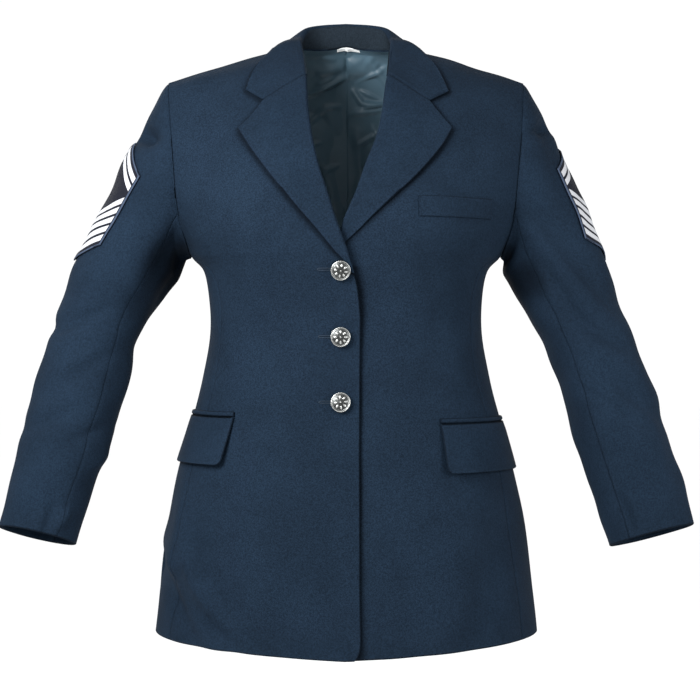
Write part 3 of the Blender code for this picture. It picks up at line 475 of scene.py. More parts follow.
# The largest folds, and finer ones that only this script makes
BODY_FOLDS = (
    Fold(-0.163, -0.615, -58.0, 0.060, 0.012, 0.012),
    Fold(-0.186, -0.615, -60.0, 0.045, 0.010, -0.008),
    Fold(-0.182, -0.530, 84.0, 0.055, 0.010, 0.005),
    Fold(-0.140, -0.640, -52.0, 0.045, 0.011, -0.008),
    Fold(-0.060, -0.620, 86.0, 0.070, 0.020, -0.003),
    Fold(0.072, -0.610, 94.0, 0.070, 0.020, -0.003),
    Fold(0.150, -0.600, 78.0, 0.070, 0.018, -0.004),
    Fold(-0.085, -0.300, 80.0, 0.055, 0.014, -0.003),
    Fold(0.098, -0.290, 98.0, 0.060, 0.014, -0.003),
)
SLEEVE_FOLDS = (
    Fold(-0.333, -0.318, 12.0, 0.030, 0.010, -0.0025),
    Fold(-0.300, -0.306, 18.0, 0.035, 0.008, -0.005),
    Fold(-0.327, -0.418, 20.0, 0.030, 0.010, -0.006),
    Fold(-0.290, -0.365, 30.0, 0.045, 0.010, -0.005),
    Fold(-0.226, -0.100, -60.0, 0.016, 0.009, -0.008),
    Fold(0.226, -0.092, 60.0, 0.014, 0.008, -0.007),
    Fold(0.255, -0.235, -50.0, 0.070, 0.010, -0.008),
    Fold(0.228, -0.265, -52.0, 0.050, 0.010, -0.006),
    Fold(0.270, -0.318, -28.0, 0.050, 0.010, -0.007),
    Fold(0.310, -0.385, -40.0, 0.050, 0.010, -0.007),
    Fold(-0.196, -0.246, 62.0, 0.045, 0.018, -0.012),
    Fold(0.196, -0.250, -66.0, 0.040, 0.014, -0.010),
)
BODY_CREASES = (
    Crease(((-0.1900, -0.595), (-0.1760, -0.583)), 0.0060, -0.0050),
    Crease(((-0.1760, -0.560), (-0.1600, -0.592), (-0.1330, -0.636)), 0.0070, 0.0085),
    Crease(((-0.1800, -0.590), (-0.1600, -0.625), (-0.1380, -0.652)), 0.0080, -0.0070),
    Crease(((-0.0980, -0.4490), (-0.0660, -0.4560)), 0.0070, -0.0016),
)
SLEEVE_CREASES = (
    Crease(((-0.3127, -0.5068), (-0.3219, -0.5465)), 0.0036, -0.0045),
    Crease(((-0.2975, -0.5120), (-0.3070, -0.5320)), 0.0045, 0.0040),
    Crease(((0.2928, -0.4957), (0.3081, -0.5354)), 0.0038, -0.0045),
    Crease(((-0.3190, -0.3210), (-0.2950, -0.3090), (-0.2596, -0.2950)), 0.0042, -0.0034),
    Crease(((-0.3100, -0.3300), (-0.2800, -0.3220), (-0.2486, -0.3250)), 0.0055, 0.0022),
    Crease(((-0.2980, -0.4400), (-0.2596, -0.4235)), 0.0050, -0.0024),
    Crease(((-0.2760, -0.4700), (-0.2540, -0.4480)), 0.0045, 0.0022),
    Crease(((0.2060, -0.1880), (0.2480, -0.2440), (0.3000, -0.3020)), 0.0050, -0.0030),
    Crease(((0.2240, -0.2620), (0.2600, -0.3120)), 0.0045, -0.0028),
    Crease(((0.2560, -0.3820), (0.2960, -0.4050), (0.3300, -0.4260)), 0.0050, -0.0028),
    Crease(((-0.2400, -0.0975), (-0.2050, -0.1020)), 0.0085, -0.0075),
    Crease(((0.2050, -0.0960), (0.2340, -0.0880)), 0.0050, -0.0050),
)


class Body:
    """The outer surface of the fronts, sides and backs."""

    # How far apart, in rows and across, the points lie that give a normal
    step = 0.004
    # How many rows under the shoulder seam the front's and back's normals start to agree
    shoulder_rows = 0.5
    # Where the front ends and the back starts on the shoulder
    shoulder_y = 0.010

    def __init__(self) -> None:
        self.ripple = Ripple(SEED, 0.050, 0.150, 0.0007)

    def plain(self, face: Face, side: Side, row, across) -> Array:
        """A point of the front or back, with no folds.

        Args:
            face: Front or back.
            side: The wearer's side.
            row: Rows up its table, which need not be whole.
            across: From 0 at the middle to 1 at the side or armhole.

        Returns:
            The points.
        """
        row, across = np.broadcast_arrays(np.asarray(row, float), np.asarray(across, float))
        edge_x, edge_y, edge_z, middle_y, middle_z, turn = np.moveaxis(read_rows(face.value, row), -1, 0)
        turn = np.radians(turn)
        x = edge_x * np.sin(turn * across) / np.sin(turn)
        curve = ((1 - np.cos(turn * across)) / (1 - np.cos(turn))) ** FULLNESS
        y = middle_y + (edge_y - middle_y) * curve
        z = middle_z + (edge_z - middle_z) * np.abs(x / edge_x) ** SLOPE
        if face is Face.FRONT:
            bust_x, bust_z, depth, spread_x, spread_z = BUST
            y = y - depth * np.exp(-(((x - bust_x) / spread_x) ** 2) - ((z - bust_z) / spread_z) ** 2)
        return np.stack([side.value * x, y, z], -1)

    def own_normal(self, face: Face, side: Side, row: Array, across: Array) -> Array:
        """The outward normal of one face by itself."""
        step = self.step
        up = self.plain(face, side, row + step, across) - self.plain(face, side, row - step, across)
        over = self.plain(face, side, row, across + step) - self.plain(face, side, row, across - step)
        return unit(np.cross(over, up)) * (side.value if face is Face.FRONT else -side.value)

    def normal(self, face: Face, side: Side, row, across) -> Array:
        """The outward normal. At the shoulder seam the front and back share one, so their walls meet."""
        row, across = np.broadcast_arrays(np.asarray(row, float), np.asarray(across, float))
        other = Face.BACK if face is Face.FRONT else Face.FRONT
        shared = self.own_normal(other, side, np.full(row.shape, float(other.top)), across)
        near = ease((row - face.top + self.shoulder_rows) / self.shoulder_rows)[..., None]
        return unit(self.own_normal(face, side, row, across) + near * shared)

    def surface(self, face: Face, side: Side, row, across, height=0.0) -> tuple[Array, Array]:
        """The folded outer surface.

        Args:
            face: Front or back.
            side: The wearer's side.
            row: Rows up its table.
            across: From 0 at the middle to 1 at the side or armhole.
            height: How far the points are moved out.

        Returns:
            The points and the normals there.
        """
        points = self.plain(face, side, row, across)
        normals = self.normal(face, side, row, across)
        lift = height + self.ripple.height(points)
        if face is Face.FRONT:
            lift = lift + sum(fold.height(points) for fold in (*BODY_FOLDS, *BODY_CREASES))
        return points + normals * np.asarray(lift)[..., None], normals

    def across_at(self, face: Face, row, x) -> Array:
        """How far across the row reaches x, measured from the middle towards the wearer's side."""
        columns = read_rows(face.value, row)
        turn = np.radians(columns[..., 5])
        return np.arcsin(np.clip(x * np.sin(turn) / columns[..., 0], -1.0, 1.0)) / turn

    def find_row(self, face: Face, side: Side, x, target, axis: int, low: float, high: float) -> Array:
        """Finds the row where the surface at x reaches the target along an axis, by halving.

        Args:
            face: Front or back.
            side: The wearer's side.
            x: Distances from the middle.
            target: The places to reach.
            axis: 1 for Y, 2 for Z.
            low: First row to look at.
            high: Last row to look at.

        Returns:
            The row at each x.
        """
        x, target = np.broadcast_arrays(np.asarray(x, float), np.asarray(target, float))
        low, high = np.full(x.shape, float(low)), np.full(x.shape, float(high))
        last = self.plain(face, side, high, self.across_at(face, high, x))[..., axis].mean()
        first = self.plain(face, side, low, self.across_at(face, low, x))[..., axis].mean()
        for _ in range(HALVINGS):
            middle = (low + high) / 2
            here = self.plain(face, side, middle, self.across_at(face, middle, x))[..., axis]
            short = (here < target) == (last > first)
            low, high = np.where(short, middle, low), np.where(short, high, middle)
        return (low + high) / 2

    def on_front(self, side: Side, x, z, height=0.0) -> tuple[Array, Array]:
        """Points on the front as seen from the front, moved out by a height, and the normals there."""
        row = self.find_row(Face.FRONT, side, x, z, 2, 0, FRONT_TOP)
        across = self.across_at(Face.FRONT, row, np.asarray(x, float))
        return self.surface(Face.FRONT, side, row, across, height)

    def on_back(self, side: Side, x, row, height=0.0) -> tuple[Array, Array]:
        """Points on the back given by x and row, moved out by a height, and the normals there."""
        row = np.asarray(row, float)
        across = self.across_at(Face.BACK, row, np.asarray(x, float))
        return self.surface(Face.BACK, side, row, across, height)

    def height_under(self, side: Side, x: Array, y: Array) -> Array:
        """How high the body's surface lies at an x and y near the shoulder."""
        heights = []
        sought = ((Face.FRONT, np.minimum(y, 0.0119), 11.5), (Face.BACK, np.maximum(y, 0.0121), 12.5))
        for face, reached, low in sought:
            row = self.find_row(face, side, x, reached, 1, low, face.top)
            heights.append(self.plain(face, side, row, self.across_at(face, row, x))[..., 2])
        return np.where(y < self.shoulder_y, *heights)


class Arm:
    """The outer surface of one sleeve. Angles run from 0 at the armpit over 90 in front to 180 outside."""

    # How the cap leaves the armhole, outwards and down, and reaches the first ring: at the armpit, and how
    # much more or less at the top
    leave_out = (0.020, 0.020)
    leave_down = (0.030, 0.020)
    arrive = (0.030, 0.095)
    # How far the cap leans to the front and back as it leaves, for each metre outwards
    splay = 0.35

    def __init__(self, body: Body, side: Side) -> None:
        self.body = body
        self.side = side
        self.rings = SLEEVE_RIGHT if side is Side.RIGHT else SLEEVE_LEFT
        self.ripple = Ripple(SEED + 3 + side.value, 0.035, 0.110, 0.0009)
        self.loops = self._armhole_loops()

    def _armhole_loops(self) -> list[tuple[Array, Array, Array, Array]]:
        """The armhole's edge, normal, run and angle, up the front and down the back."""
        count = 121
        loops = []
        for face, rows in (
            (Face.FRONT, np.linspace(ARMPIT_ROW, FRONT_TOP, count)),
            (Face.BACK, np.linspace(BACK_TOP, ARMPIT_ROW, count)),
        ):
            edge, normal = self.body.surface(face, self.side, rows, 1.0)
            run = edge - self.body.plain(face, self.side, rows, 0.97)
            length = np.concatenate([[0], np.cumsum(np.linalg.norm(np.diff(edge, axis=0), axis=1))])
            loops.append((edge, normal, run, 180.0 * length / length[-1]))
        return loops

    def _read_loop(self, number: int, angle: Array) -> Array:
        """One field of the armhole's loops at each angle: 0 the edge, 1 the normal, 2 the run."""
        front, back = self.loops
        ahead = [np.interp(angle, front[3], front[number][:, axis]) for axis in range(3)]
        behind = [np.interp(angle - 180, back[3], back[number][:, axis]) for axis in range(3)]
        return np.stack([np.where(angle <= 180, a, b) for a, b in zip(ahead, behind)], -1)

    def armhole(self, angle) -> tuple[Array, Array, Array]:
        """The armhole's edge, its outward normal and the way that the body runs off it."""
        angle = np.mod(np.asarray(angle, float), 360.0)
        edge, normal, run = (self._read_loop(number, angle) for number in range(3))
        chord = self._read_loop(0, np.mod(angle + 3, 360)) - self._read_loop(0, np.mod(angle - 3, 360))
        normal = unit(normal)
        across = np.cross(unit(chord), normal)
        return edge, normal, unit(across * np.sign(np.sum(across * run, -1))[..., None])

    def ring(self, row, angle) -> tuple[Array, Array]:
        """A point of the sleeve below the cap, and its axis there. `row` counts the rings from 1."""
        row, angle = np.broadcast_arrays(np.asarray(row, float) - 1.0, np.radians(np.asarray(angle, float)))
        sign = self.side.value
        here = read_rows(self.rings, row)
        axis = read_rows(self.rings, row + 0.1)[..., :3] - read_rows(self.rings, row - 0.1)[..., :3]
        axis = unit(axis * (sign, 1, 1))
        lean = np.radians(here[..., 5])
        outward = np.stack([sign * np.cos(lean), np.zeros_like(lean), np.sin(lean)], -1)
        outward = unit(outward - axis * np.sum(outward * axis, -1, keepdims=True))
        forward = np.cross(outward, axis) * sign
        forward = forward * -np.sign(forward[..., 1:2])
        width, depth, turn = here[..., 3:4] / 2, here[..., 4:5] / 2, angle[..., None]
        centre = here[..., :3] * (sign, 1, 1)
        return centre - outward * width * np.cos(turn) + forward * depth * np.sin(turn), axis

    def plain(self, row, angle) -> Array:
        """A point of the sleeve, with no folds.

        Args:
            row: 0 to 1 are the cap, from the armhole, and the rest are rings.
            angle: Degrees round the arm.

        Returns:
            The points.
        """
        row, angle = np.broadcast_arrays(np.asarray(row, float), np.asarray(angle, float))
        edge, _, run = self.armhole(angle)
        rise = ((1 - np.cos(np.radians(angle))) / 2)[..., None]
        ring, axis = self.ring(np.maximum(row, 1.0), angle)
        sideways = np.full(row.shape, float(self.side.value))
        away = np.stack([sideways, -self.splay * np.sin(np.radians(angle)), np.zeros(row.shape)], -1)
        out = self.leave_out[0] + self.leave_out[1] * rise
        leave = away * out + (0, 0, -1) * (self.leave_down[0] - self.leave_down[1] * rise)
        arrive = axis * (self.arrive[0] + self.arrive[1] * rise)
        part = np.clip(row, 0.0, 1.0)[..., None]
        cap = hermite(edge + run * ARMHOLE_GAP, leave, ring, arrive, part)
        return np.where((row > 1.0)[..., None], ring, cap)

    def surface(self, row, angle, height=0.0) -> tuple[Array, Array]:
        """The folded outer surface of the sleeve.

        Args:
            row: 0 to 1 are the cap, and the rest are rings.
            angle: Degrees round the arm.
            height: How far the points are moved out.

        Returns:
            The points and the normals there.
        """
        row, angle = np.broadcast_arrays(np.asarray(row, float), np.asarray(angle, float))
        points = self.plain(row, angle)
        below, above = np.minimum(row + 0.03, CUFF_ROW), np.maximum(row - 0.03, 0.0)
        along = self.plain(below, angle) - self.plain(above, angle)
        around = self.plain(row, angle + 1.5) - self.plain(row, angle - 1.5)
        normals = unit(np.cross(along, around)) * self.side.value
        _, seam_normal, _ = self.armhole(angle)
        normals = unit(between(normals, seam_normal, ease(1 - row / 0.25)[..., None]))
        ahead = ease(points[..., 1] / -0.02 + 0.5)
        folds = sum(fold.height(points) for fold in (*SLEEVE_FOLDS, *SLEEVE_CREASES)) * ahead
        lift = height + (folds + self.ripple.height(points)) * ease(row / 0.3)
        return points + normals * np.asarray(lift)[..., None], normals

    def row_at(self, angle: Array, z: Array) -> Array:
        """The row where the sleeve at an angle comes down to a height, found by halving."""
        low, high = np.full(np.shape(z), 0.05), np.full(np.shape(z), 5.0)
        for _ in range(HALVINGS):
            middle = (low + high) / 2
            above = self.plain(middle, angle)[..., 2] > z
            low, high = np.where(above, middle, low), np.where(above, high, middle)
        return (low + high) / 2


@dataclass
class Cut:
    """A piece of cloth as it lies in the jacket, and as it was cut. It stands for the node of its name.

    The edges are in the order first row, last row, first column, last column.
    """

    # How round the rim is, in thicknesses, and the furthest that a point's distance to an edge is told
    roundness: ClassVar[float] = 0.42
    furthest: ClassVar[float] = 0.08
    # The least share of its bounding oblong that a flat size may state
    least_share: ClassVar[float] = 0.31

    name: str
    points: Array
    normals: Array
    thickness: float
    slot: str = "shell"
    gaps: Gaps = (0.0, 0.0, 0.0, 0.0)
    sewn: Sewn = (False, False, False, False)
    faced: float = 0.0
    held: str = "hung"
    rests_on: tuple[str, ...] = ()
    is_trim: bool = False
    shadow: Array | None = None

    def drawn_in(self, grid: Array, gaps: Gaps) -> Array:
        """The grid with its four edges drawn in."""
        grid = grid.copy()
        for gap, edge, inside in zip(
            gaps,
            (np.s_[0, :], np.s_[-1, :], np.s_[:, 0], np.s_[:, -1]),
            (np.s_[1, :], np.s_[-2, :], np.s_[:, 1], np.s_[:, -2]),
        ):
            if gap:
                grid[edge] += unit(grid[inside] - grid[edge]) * gap
        return grid

    @property
    def index(self) -> Array:
        """The number of each point of the outer face."""
        rows, columns = self.points.shape[:2]
        return np.arange(rows * columns).reshape(rows, columns)

    @property
    def loop(self) -> Array:
        """The numbers of the outer face's points round its edges."""
        index = self.index
        return np.concatenate([index[0, :-1], index[:-1, -1], index[-1, :0:-1], index[:0:-1, 0]])

    def write(self, thing: Thing, name: str, values: Array) -> None:
        """Writes a grid of numbers on both faces and the rim of the shell."""
        flat = values.ravel()
        set_attribute(thing.data, name, np.concatenate([flat, flat, flat[self.loop]]))

    def runs(self) -> tuple[Array, Array]:
        """How far each point lies along its column and along its row, in metres of cloth."""
        down = np.linalg.norm(np.diff(self.points, axis=0), axis=-1)
        over = np.linalg.norm(np.diff(self.points, axis=1), axis=-1)
        down = np.vstack([np.zeros((1, down.shape[1])), np.cumsum(down, 0)])
        over = np.hstack([np.zeros((over.shape[0], 1)), np.cumsum(over, 1)])
        return down, over

    def to_edges(self) -> list[Array]:
        """How far each point lies from each of the four edges."""
        down, over = self.runs()
        return [down, down[-1:] - down, over, over[:, -1:] - over]

    def build(
        self, outside: bpy.types.Material, inside: bpy.types.Material, trims: Sequence[Thing] = ()
    ) -> Thing:
        """Makes the shell: an outer face, a rounded rim and an inner face.

        Args:
            outside: Finish of the outer face and rim.
            inside: Finish of the inner face beyond the facing.
            trims: Narrow pieces sewn on it; not used.

        Returns:
            The object, riding on the body.
        """
        outer, inner = self.points, self.points - self.normals * self.thickness
        outer, inner = self.drawn_in(outer, self.gaps), self.drawn_in(inner, self.gaps)
        middle = (outer + inner) / 2
        soft = (self.thickness * self.roundness,) * 4
        layers = [self.drawn_in(outer, soft), self.drawn_in(inner, soft)]
        index, loop = self.index, self.loop
        points = np.concatenate([*(layer.reshape(-1, 3) for layer in layers), middle.reshape(-1, 3)[loop]])
        size, columns = index.size, index.shape[1]
        a, b = index[:-1, :-1].ravel(), index[:-1, 1:].ravel()
        c, d = index[1:, 1:].ravel(), index[1:, :-1].ravel()
        face = np.stack([a, b, c, d], 1)
        ring = 2 * size + np.arange(len(loop))
        following, ring_on = np.roll(loop, -1), np.roll(ring, -1)
        upper = np.stack([loop, ring, ring_on, following], 1)
        lower = np.stack([ring, loop + size, following + size, ring_on], 1)
        faces = np.concatenate([face, face[:, ::-1] + size, upper, lower])
        down, over = self.runs()
        places = np.stack([over - over[:, columns // 2 : columns // 2 + 1], down], -1).reshape(-1, 2)
        places = np.concatenate([places, places, places[loop]])
        distances = self.to_edges()
        free = self._nearest(distances, False)
        thing = new_mesh(f"{self.name}_cloth", points, faces, places)
        self.write(thing, "seam", self._nearest(distances, True))
        self.write(thing, "free", free)
        self.write(thing, "shadow", np.zeros(size) if self.shadow is None else self.shadow)
        thing.data.materials.append(outside)
        thing.data.materials.append(inside)
        lined = np.zeros(len(faces), np.int32)
        lined[len(face) : 2 * len(face)] = free.ravel()[face].max(1) > self.faced
        thing.data.polygons.foreach_set("material_index", lined)
        thing.data.update()
        seat(thing, self.slot, self.name)
        return thing

    def _nearest(self, distances: list[Array], sewn: bool) -> Array:
        """The distance to the nearest edge that is sewn, or that is free, up to a limit."""
        chosen = [distance for distance, is_sewn in zip(distances, self.sewn) if is_sewn == sewn]
        return np.minimum.reduce([*chosen, np.full(distances[0].shape, self.furthest)])


def new_mesh(name: str, points: Array, faces, places: Array | None = None) -> Thing:
    """Makes a smooth object that faces outwards.

    Args:
        name: Its name.
        points: Its points.
        faces: Its faces, as rows of point numbers.
        places: Where each point lies on the flat cloth, in metres, for a UV map.

    Returns:
        The object.
    """
    mesh = bpy.data.meshes.new(name)
    mesh.from_pydata(points.tolist(), [], faces.tolist())
    corners = points[np.asarray(faces)[:, :3]]
    if np.einsum("ij,ij->i", corners[:, 0], np.cross(corners[:, 1], corners[:, 2])).sum() < 0:
        mesh.flip_normals()
    if places is not None:
        layer = mesh.uv_layers.new(name="cloth")
        order = np.zeros(len(mesh.loops), np.int32)
        mesh.loops.foreach_get("vertex_index", order)
        layer.data.foreach_set("uv", places[order].astype(np.float32).ravel())
    mesh.shade_smooth()
    thing = bpy.data.objects.new(name, mesh)
    bpy.context.scene.collection.objects.link(thing)
    return thing


def set_attribute(mesh: bpy.types.Mesh, name: str, values: Array) -> None:
    """Writes a number for each point."""
    mesh.attributes.new(name, "FLOAT", "POINT").data.foreach_set("value", values.astype(np.float32))


def seat(thing: Thing, slot: str, *nodes: str) -> None:
    """Makes a piece ride on the body and stand for its nodes."""
    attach(thing, BODY)
    if nodes:
        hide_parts(*nodes)


def spread(length: float, cell: float = CELL, edge: float = 0.0012) -> Array:
    """Parts of the way along a length, with one more close to each end.

    Args:
        length: The length.
        cell: How far apart the parts lie.
        edge: How close to each end the extra ones lie.

    Returns:
        Numbers from 0 to 1.
    """
    part = np.linspace(0, 1, steps_for(length, cell))
    near = min(edge / length, part[1] / 2)
    return np.concatenate([[0.0, near], part[1:-1], [1.0 - near, 1.0]])


class Piece(ABC):
    """A sub-assembly that builds its shells and dresses them."""

    def __init__(self, body: Body, finishes: "Finishes") -> None:
        self.body = body
        self.finishes = finishes

    @abstractmethod
    def build(self) -> None:
        """Makes every object of the sub-assembly."""


class BodyPanels(Piece):
    """The fronts, sides and backs."""

    faced = 0.045
    hem_rows = 0.35
    # Rows below and above the side seam's top, and how wide a panel is, for the distance between points
    low_count = 120
    front_count = 48
    back_count = 36
    neck_count = 16
    width = 0.19

    def rows_to(self, top: float, count: int) -> Array:
        """Rows from the hem to a top, closer together at the hem's rounded corner."""
        low = np.linspace(0, self.hem_rows, 12, endpoint=False)
        return np.concatenate([low, np.linspace(self.hem_rows, top, count)])

    def seam_top(self, highest: float, blend: float) -> float:
        """The row where a column of the side panel ends."""
        return ARMPIT_ROW + (highest - ARMPIT_ROW) * (1 - blend) ** SEAM_TOP_BEND

    def seam(self, face: Face, row: Array, blend: float) -> Array:
        """Across a face: from its seam (blend 0) to the side itself (blend 1), up to the armhole."""
        start, highest = face.seam
        low = start + (1 - start) * blend
        top = self.seam_top(highest, blend)
        return between(low, 1.0, ease((row - SEAM_BEND_ROW) / (top - SEAM_BEND_ROW)) ** 1.5)

    def front_edge(self, side: Side, z: Array, row: Array) -> Array:
        """A front's inner edge: closure, then just outside the roll line, then out to the neck.

        Args:
            side: The wearer's side.
            z: Heights.
            row: The rows at those heights.

        Returns:
            The x at each height, from the middle towards the wearer's side.
        """
        edge = np.interp(z, *CLOSURE) if side is Side.RIGHT else np.full(z.shape, UNDER_EDGE)
        roll, radius = roll_line(side, z)
        edge = between(edge, roll + radius + 3 * SEAM_GAP, ease((z - BREAK_Z[side.label]) / BREAK_BLEND))
        edge = between(edge, NECK_X, ease((row - NECK_TURN_ROW) / NECK_TURN_ROWS))
        corner = np.clip((z - HEM_Z) / HEM_CORNER, 0.0, 1.0)
        return edge + HEM_CORNER_REACH * (1 - np.sqrt(1 - (1 - corner) ** 2)) * (side is Side.RIGHT)

    def front(self, side: Side) -> Cut:
        """A front, from its closure to the side seam and from the hem to the shoulder."""
        seam_top = FRONT_SEAM[1]
        above = np.linspace(seam_top, FRONT_TOP, self.front_count)[1:]
        rows = np.concatenate([self.rows_to(seam_top, self.low_count), above])
        inner = np.zeros(len(rows))
        for _ in range(12):
            z = self.body.plain(Face.FRONT, side, rows, inner)[..., 2]
            inner = self.body.across_at(Face.FRONT, rows, self.front_edge(side, z, rows))
        across = between(inner[:, None], self.seam(Face.FRONT, rows, 0.0)[:, None], spread(self.width))
        points, normals = self.body.surface(Face.FRONT, side, rows[:, None], across)
        points = points - normals * underlap(side, points)[..., None]
        shadow = self.shadow(side, points)
        return self.panel("front", side, points, normals, (False, True, False, True), shadow)

    def panel(
        self, kind: str, side: Side, points: Array, normals: Array, sewn: Sewn, shadow: Array | None = None
    ) -> Cut:
        """A panel of the body, which overlaps its neighbour a little at each sewn edge.

        Args:
            kind: front, side or back.
            side: The wearer's side.
            points: Its outer points.
            normals: The normals there.
            sewn: Which of its edges are sewn.
            shadow: How deep in the shade each point lies, from 0 to 1.

        Returns:
            The cut.
        """
        gaps = tuple(SEAM_OVERLAP if is_sewn else 0.0 for is_sewn in sewn)
        name = f"{kind}_{side.label}"
        return Cut(name, points, normals, BODY_WALL, gaps=gaps, sewn=sewn, faced=self.faced, shadow=shadow)

    def shadow(self, side: Side, points: Array) -> Array:
        """How deep in the shade of the lapel, the collar and the closure each point of a front lies.

        Args:
            side: The wearer's side.
            points: Points of the front.

        Returns:
            A number from 0 to 1 for each point.
        """
        lapel = [row[2:4] for row in LAPEL_ROWS[side.label]]
        line = np.array([*lapel, COLLAR_TIP[side.label], *COLLAR_FRONT_EDGE]) * (side.value, 1)
        shade = np.exp(-((line_distance(points, line) / EDGE_SHADOW) ** 2))
        if side is Side.LEFT:
            over = points[..., 0] + np.interp(points[..., 2], *CLOSURE)
            reach = np.interp(points[..., 2], *CLOSURE_SHADOW)
            low = points[..., 2] < BREAK_Z["left"]
            shade = np.maximum(shade, np.exp(-((np.maximum(over, 0) / reach) ** 2)) * low)
        return shade

    def back(self, side: Side) -> Cut:
        """Half of the back, from the middle seam to the side seam and up to the neck and shoulder."""
        seam_top = BACK_SEAM[1]
        above = np.linspace(seam_top, BACK_NECK_ROW, self.back_count)[1:]
        rows = np.concatenate([self.rows_to(seam_top, self.low_count), above])
        part = spread(self.width)
        across = between(0.0, self.seam(Face.BACK, rows, 0.0)[:, None], part)
        for extra in np.linspace(BACK_NECK_ROW, BACK_TOP, self.neck_count)[1:]:
            rise = (extra - BACK_NECK_ROW) / (BACK_TOP - BACK_NECK_ROW)
            start = self.body.across_at(Face.BACK, np.asarray(float(extra)), between(0.0, NECK_X, rise**0.45))
            rows = np.append(rows, extra)
            across = np.vstack([across, between(start, 1.0, part)])
        points, normals = self.body.surface(Face.BACK, side, rows[:, None], across)
        return self.panel("back", side, points, normals, (False, True, True, True))

    def side_panel(self, side: Side) -> Cut:
        """The side panel: columns from the front seam round to the back seam, each up to the armhole."""
        columns = []
        for face, shares in ((Face.FRONT, np.linspace(1, 0, 20)), (Face.BACK, np.linspace(0, 1, 24)[1:])):
            for blend in 1 - shares ** (1 / SEAM_TOP_BEND):
                rows = self.rows_to(self.seam_top(face.seam[1], blend), 112)
                columns.append(self.body.surface(face, side, rows, self.seam(face, rows, blend)))
        points, normals = (np.stack(parts, 1) for parts in zip(*columns))
        return self.panel("side", side, points, normals, (False, True, True, True))

    def build(self) -> None:
        """Makes the six panels."""
        for side in Side:
            self.front(side).build(self.finishes.front, self.finishes.satin)
            self.side_panel(side).build(self.finishes.wool, self.finishes.satin)
            self.back(side).build(self.finishes.wool, self.finishes.satin)


def line_distance(points: Array, line: Array) -> Array:
    """How far points lie from a line, as seen from the front.

    Args:
        points: The points.
        line: The line's (x, z) places.

    Returns:
        The distance of each point.
    """
    flat = points[..., [0, 2]]
    best = np.full(flat.shape[:-1], np.inf)
    for start, way in zip(line, np.diff(line, axis=0)):
        part = np.clip((flat - start) @ way / (way @ way), 0.0, 1.0)
        best = np.minimum(best, np.linalg.norm(flat - start - part[..., None] * way, axis=-1))
    return best


def roll_line(side: Side, z: Array) -> tuple[Array, Array]:
    """How far the roll line lies towards the wearer's own side at a height, and the roll's radius there."""
    rows = read_rows(LAPEL_ROWS[side.label], np.linspace(0, LAPEL_TOP, 90))
    return np.interp(z, rows[:, 1], rows[:, 0]), np.interp(z, rows[:, 1], rows[:, 5])


def underlap(side: Side, points: Array) -> Array:
    """How far the wearer's left front, which buttons underneath, is set in at each point."""
    near = ease((UNDERLAP_START - points[..., 0]) / (UNDERLAP_START - UNDERLAP_FULL))
    return np.interp(points[..., 2], *UNDERLAP_SINK) * near * (side is Side.LEFT)


def neck_inside(x: Array) -> tuple[Array, Array]:
    """The row that the lining reaches at a distance from the middle, and how far it lies over it."""
    places, rows, rises = NECK_INSIDE
    return np.interp(x, places, rows), np.interp(x, places, rises)


class Sleeves(Piece):
    """The two-part sleeves and the patches sewn on them."""

    faced = 0.035

    def sleeve(self, arm: Arm, part: str, start: float, end: float, width: float) -> Cut:
        """The top or under part of a sleeve.

        Args:
            arm: The sleeve's surface.
            part: top or under.
            start: The angle round the arm where the part starts.
            end: The angle where it ends.
            width: About how wide it is, for the distance between its points.

        Returns:
            The cut.
        """
        rows = np.concatenate([[0, 0.02], np.linspace(0.05, 1.0, 44), np.linspace(1.0, CUFF_ROW, 84)[1:]])
        points, normals = arm.surface(rows[:, None], between(start, end, spread(width)))
        shade = [
            np.exp(-((points[..., 0] - x) ** 2 + (points[..., 2] - z) ** 2) / reach**2)
            for x, z, reach in ARMPIT_SHADE
        ]
        return Cut(
            f"sleeve_{part}_{arm.side.label}", points, normals, BODY_WALL,
            gaps=(0.0, 0.0, SEAM_OVERLAP, SEAM_OVERLAP), sewn=(True, False, True, True), faced=self.faced,
            shadow=np.maximum(*shade),
        )

    def patch(self, arm: Arm) -> Cut:
        """A sleeve patch, with peaked top and foot."""
        label = arm.side.label
        across = spread(0.105, 0.0024, 0.0008)
        up = spread(0.135, 0.0024, 0.0008)[:, None]
        share = np.abs(2 * across - 1)
        foot, top = (between(middle, edge, share) for edge, middle in (PATCH_FOOT[label], PATCH_TOP[label]))
        heights = between(foot, top, up)
        angles = between(*PATCH_FRONT[label], up) + PATCH_SPAN * across
        rows = arm.row_at(angles, heights)
        points, normals = arm.surface(rows, angles, PATCH_GAP + PATCH_WALL)
        return Cut(
            f"sleeve_patch_{label}", points, normals, PATCH_WALL, "patch", held="laid",
            rests_on=(f"sleeve_top_{label}",),
        )

    def build(self) -> None:
        """Makes both sleeves and their patches."""
        for side in Side:
            arm = Arm(self.body, side)
            full_turn = 360.0 + BACK_SEAM_ANGLE
            for part, start, end, width in (
                ("top", FRONT_SEAM_ANGLE, full_turn, 0.22),
                ("under", BACK_SEAM_ANGLE, FRONT_SEAM_ANGLE, 0.12),
            ):
                self.sleeve(arm, part, start, end, width).build(self.finishes.wool, self.finishes.satin)
            cut = self.patch(arm)
            thing = cut.build(self.finishes.embroidery, self.finishes.wool)
            for name, values in zip(("patch_foot", "patch_top"), cut.to_edges()):
                cut.write(thing, name, values)


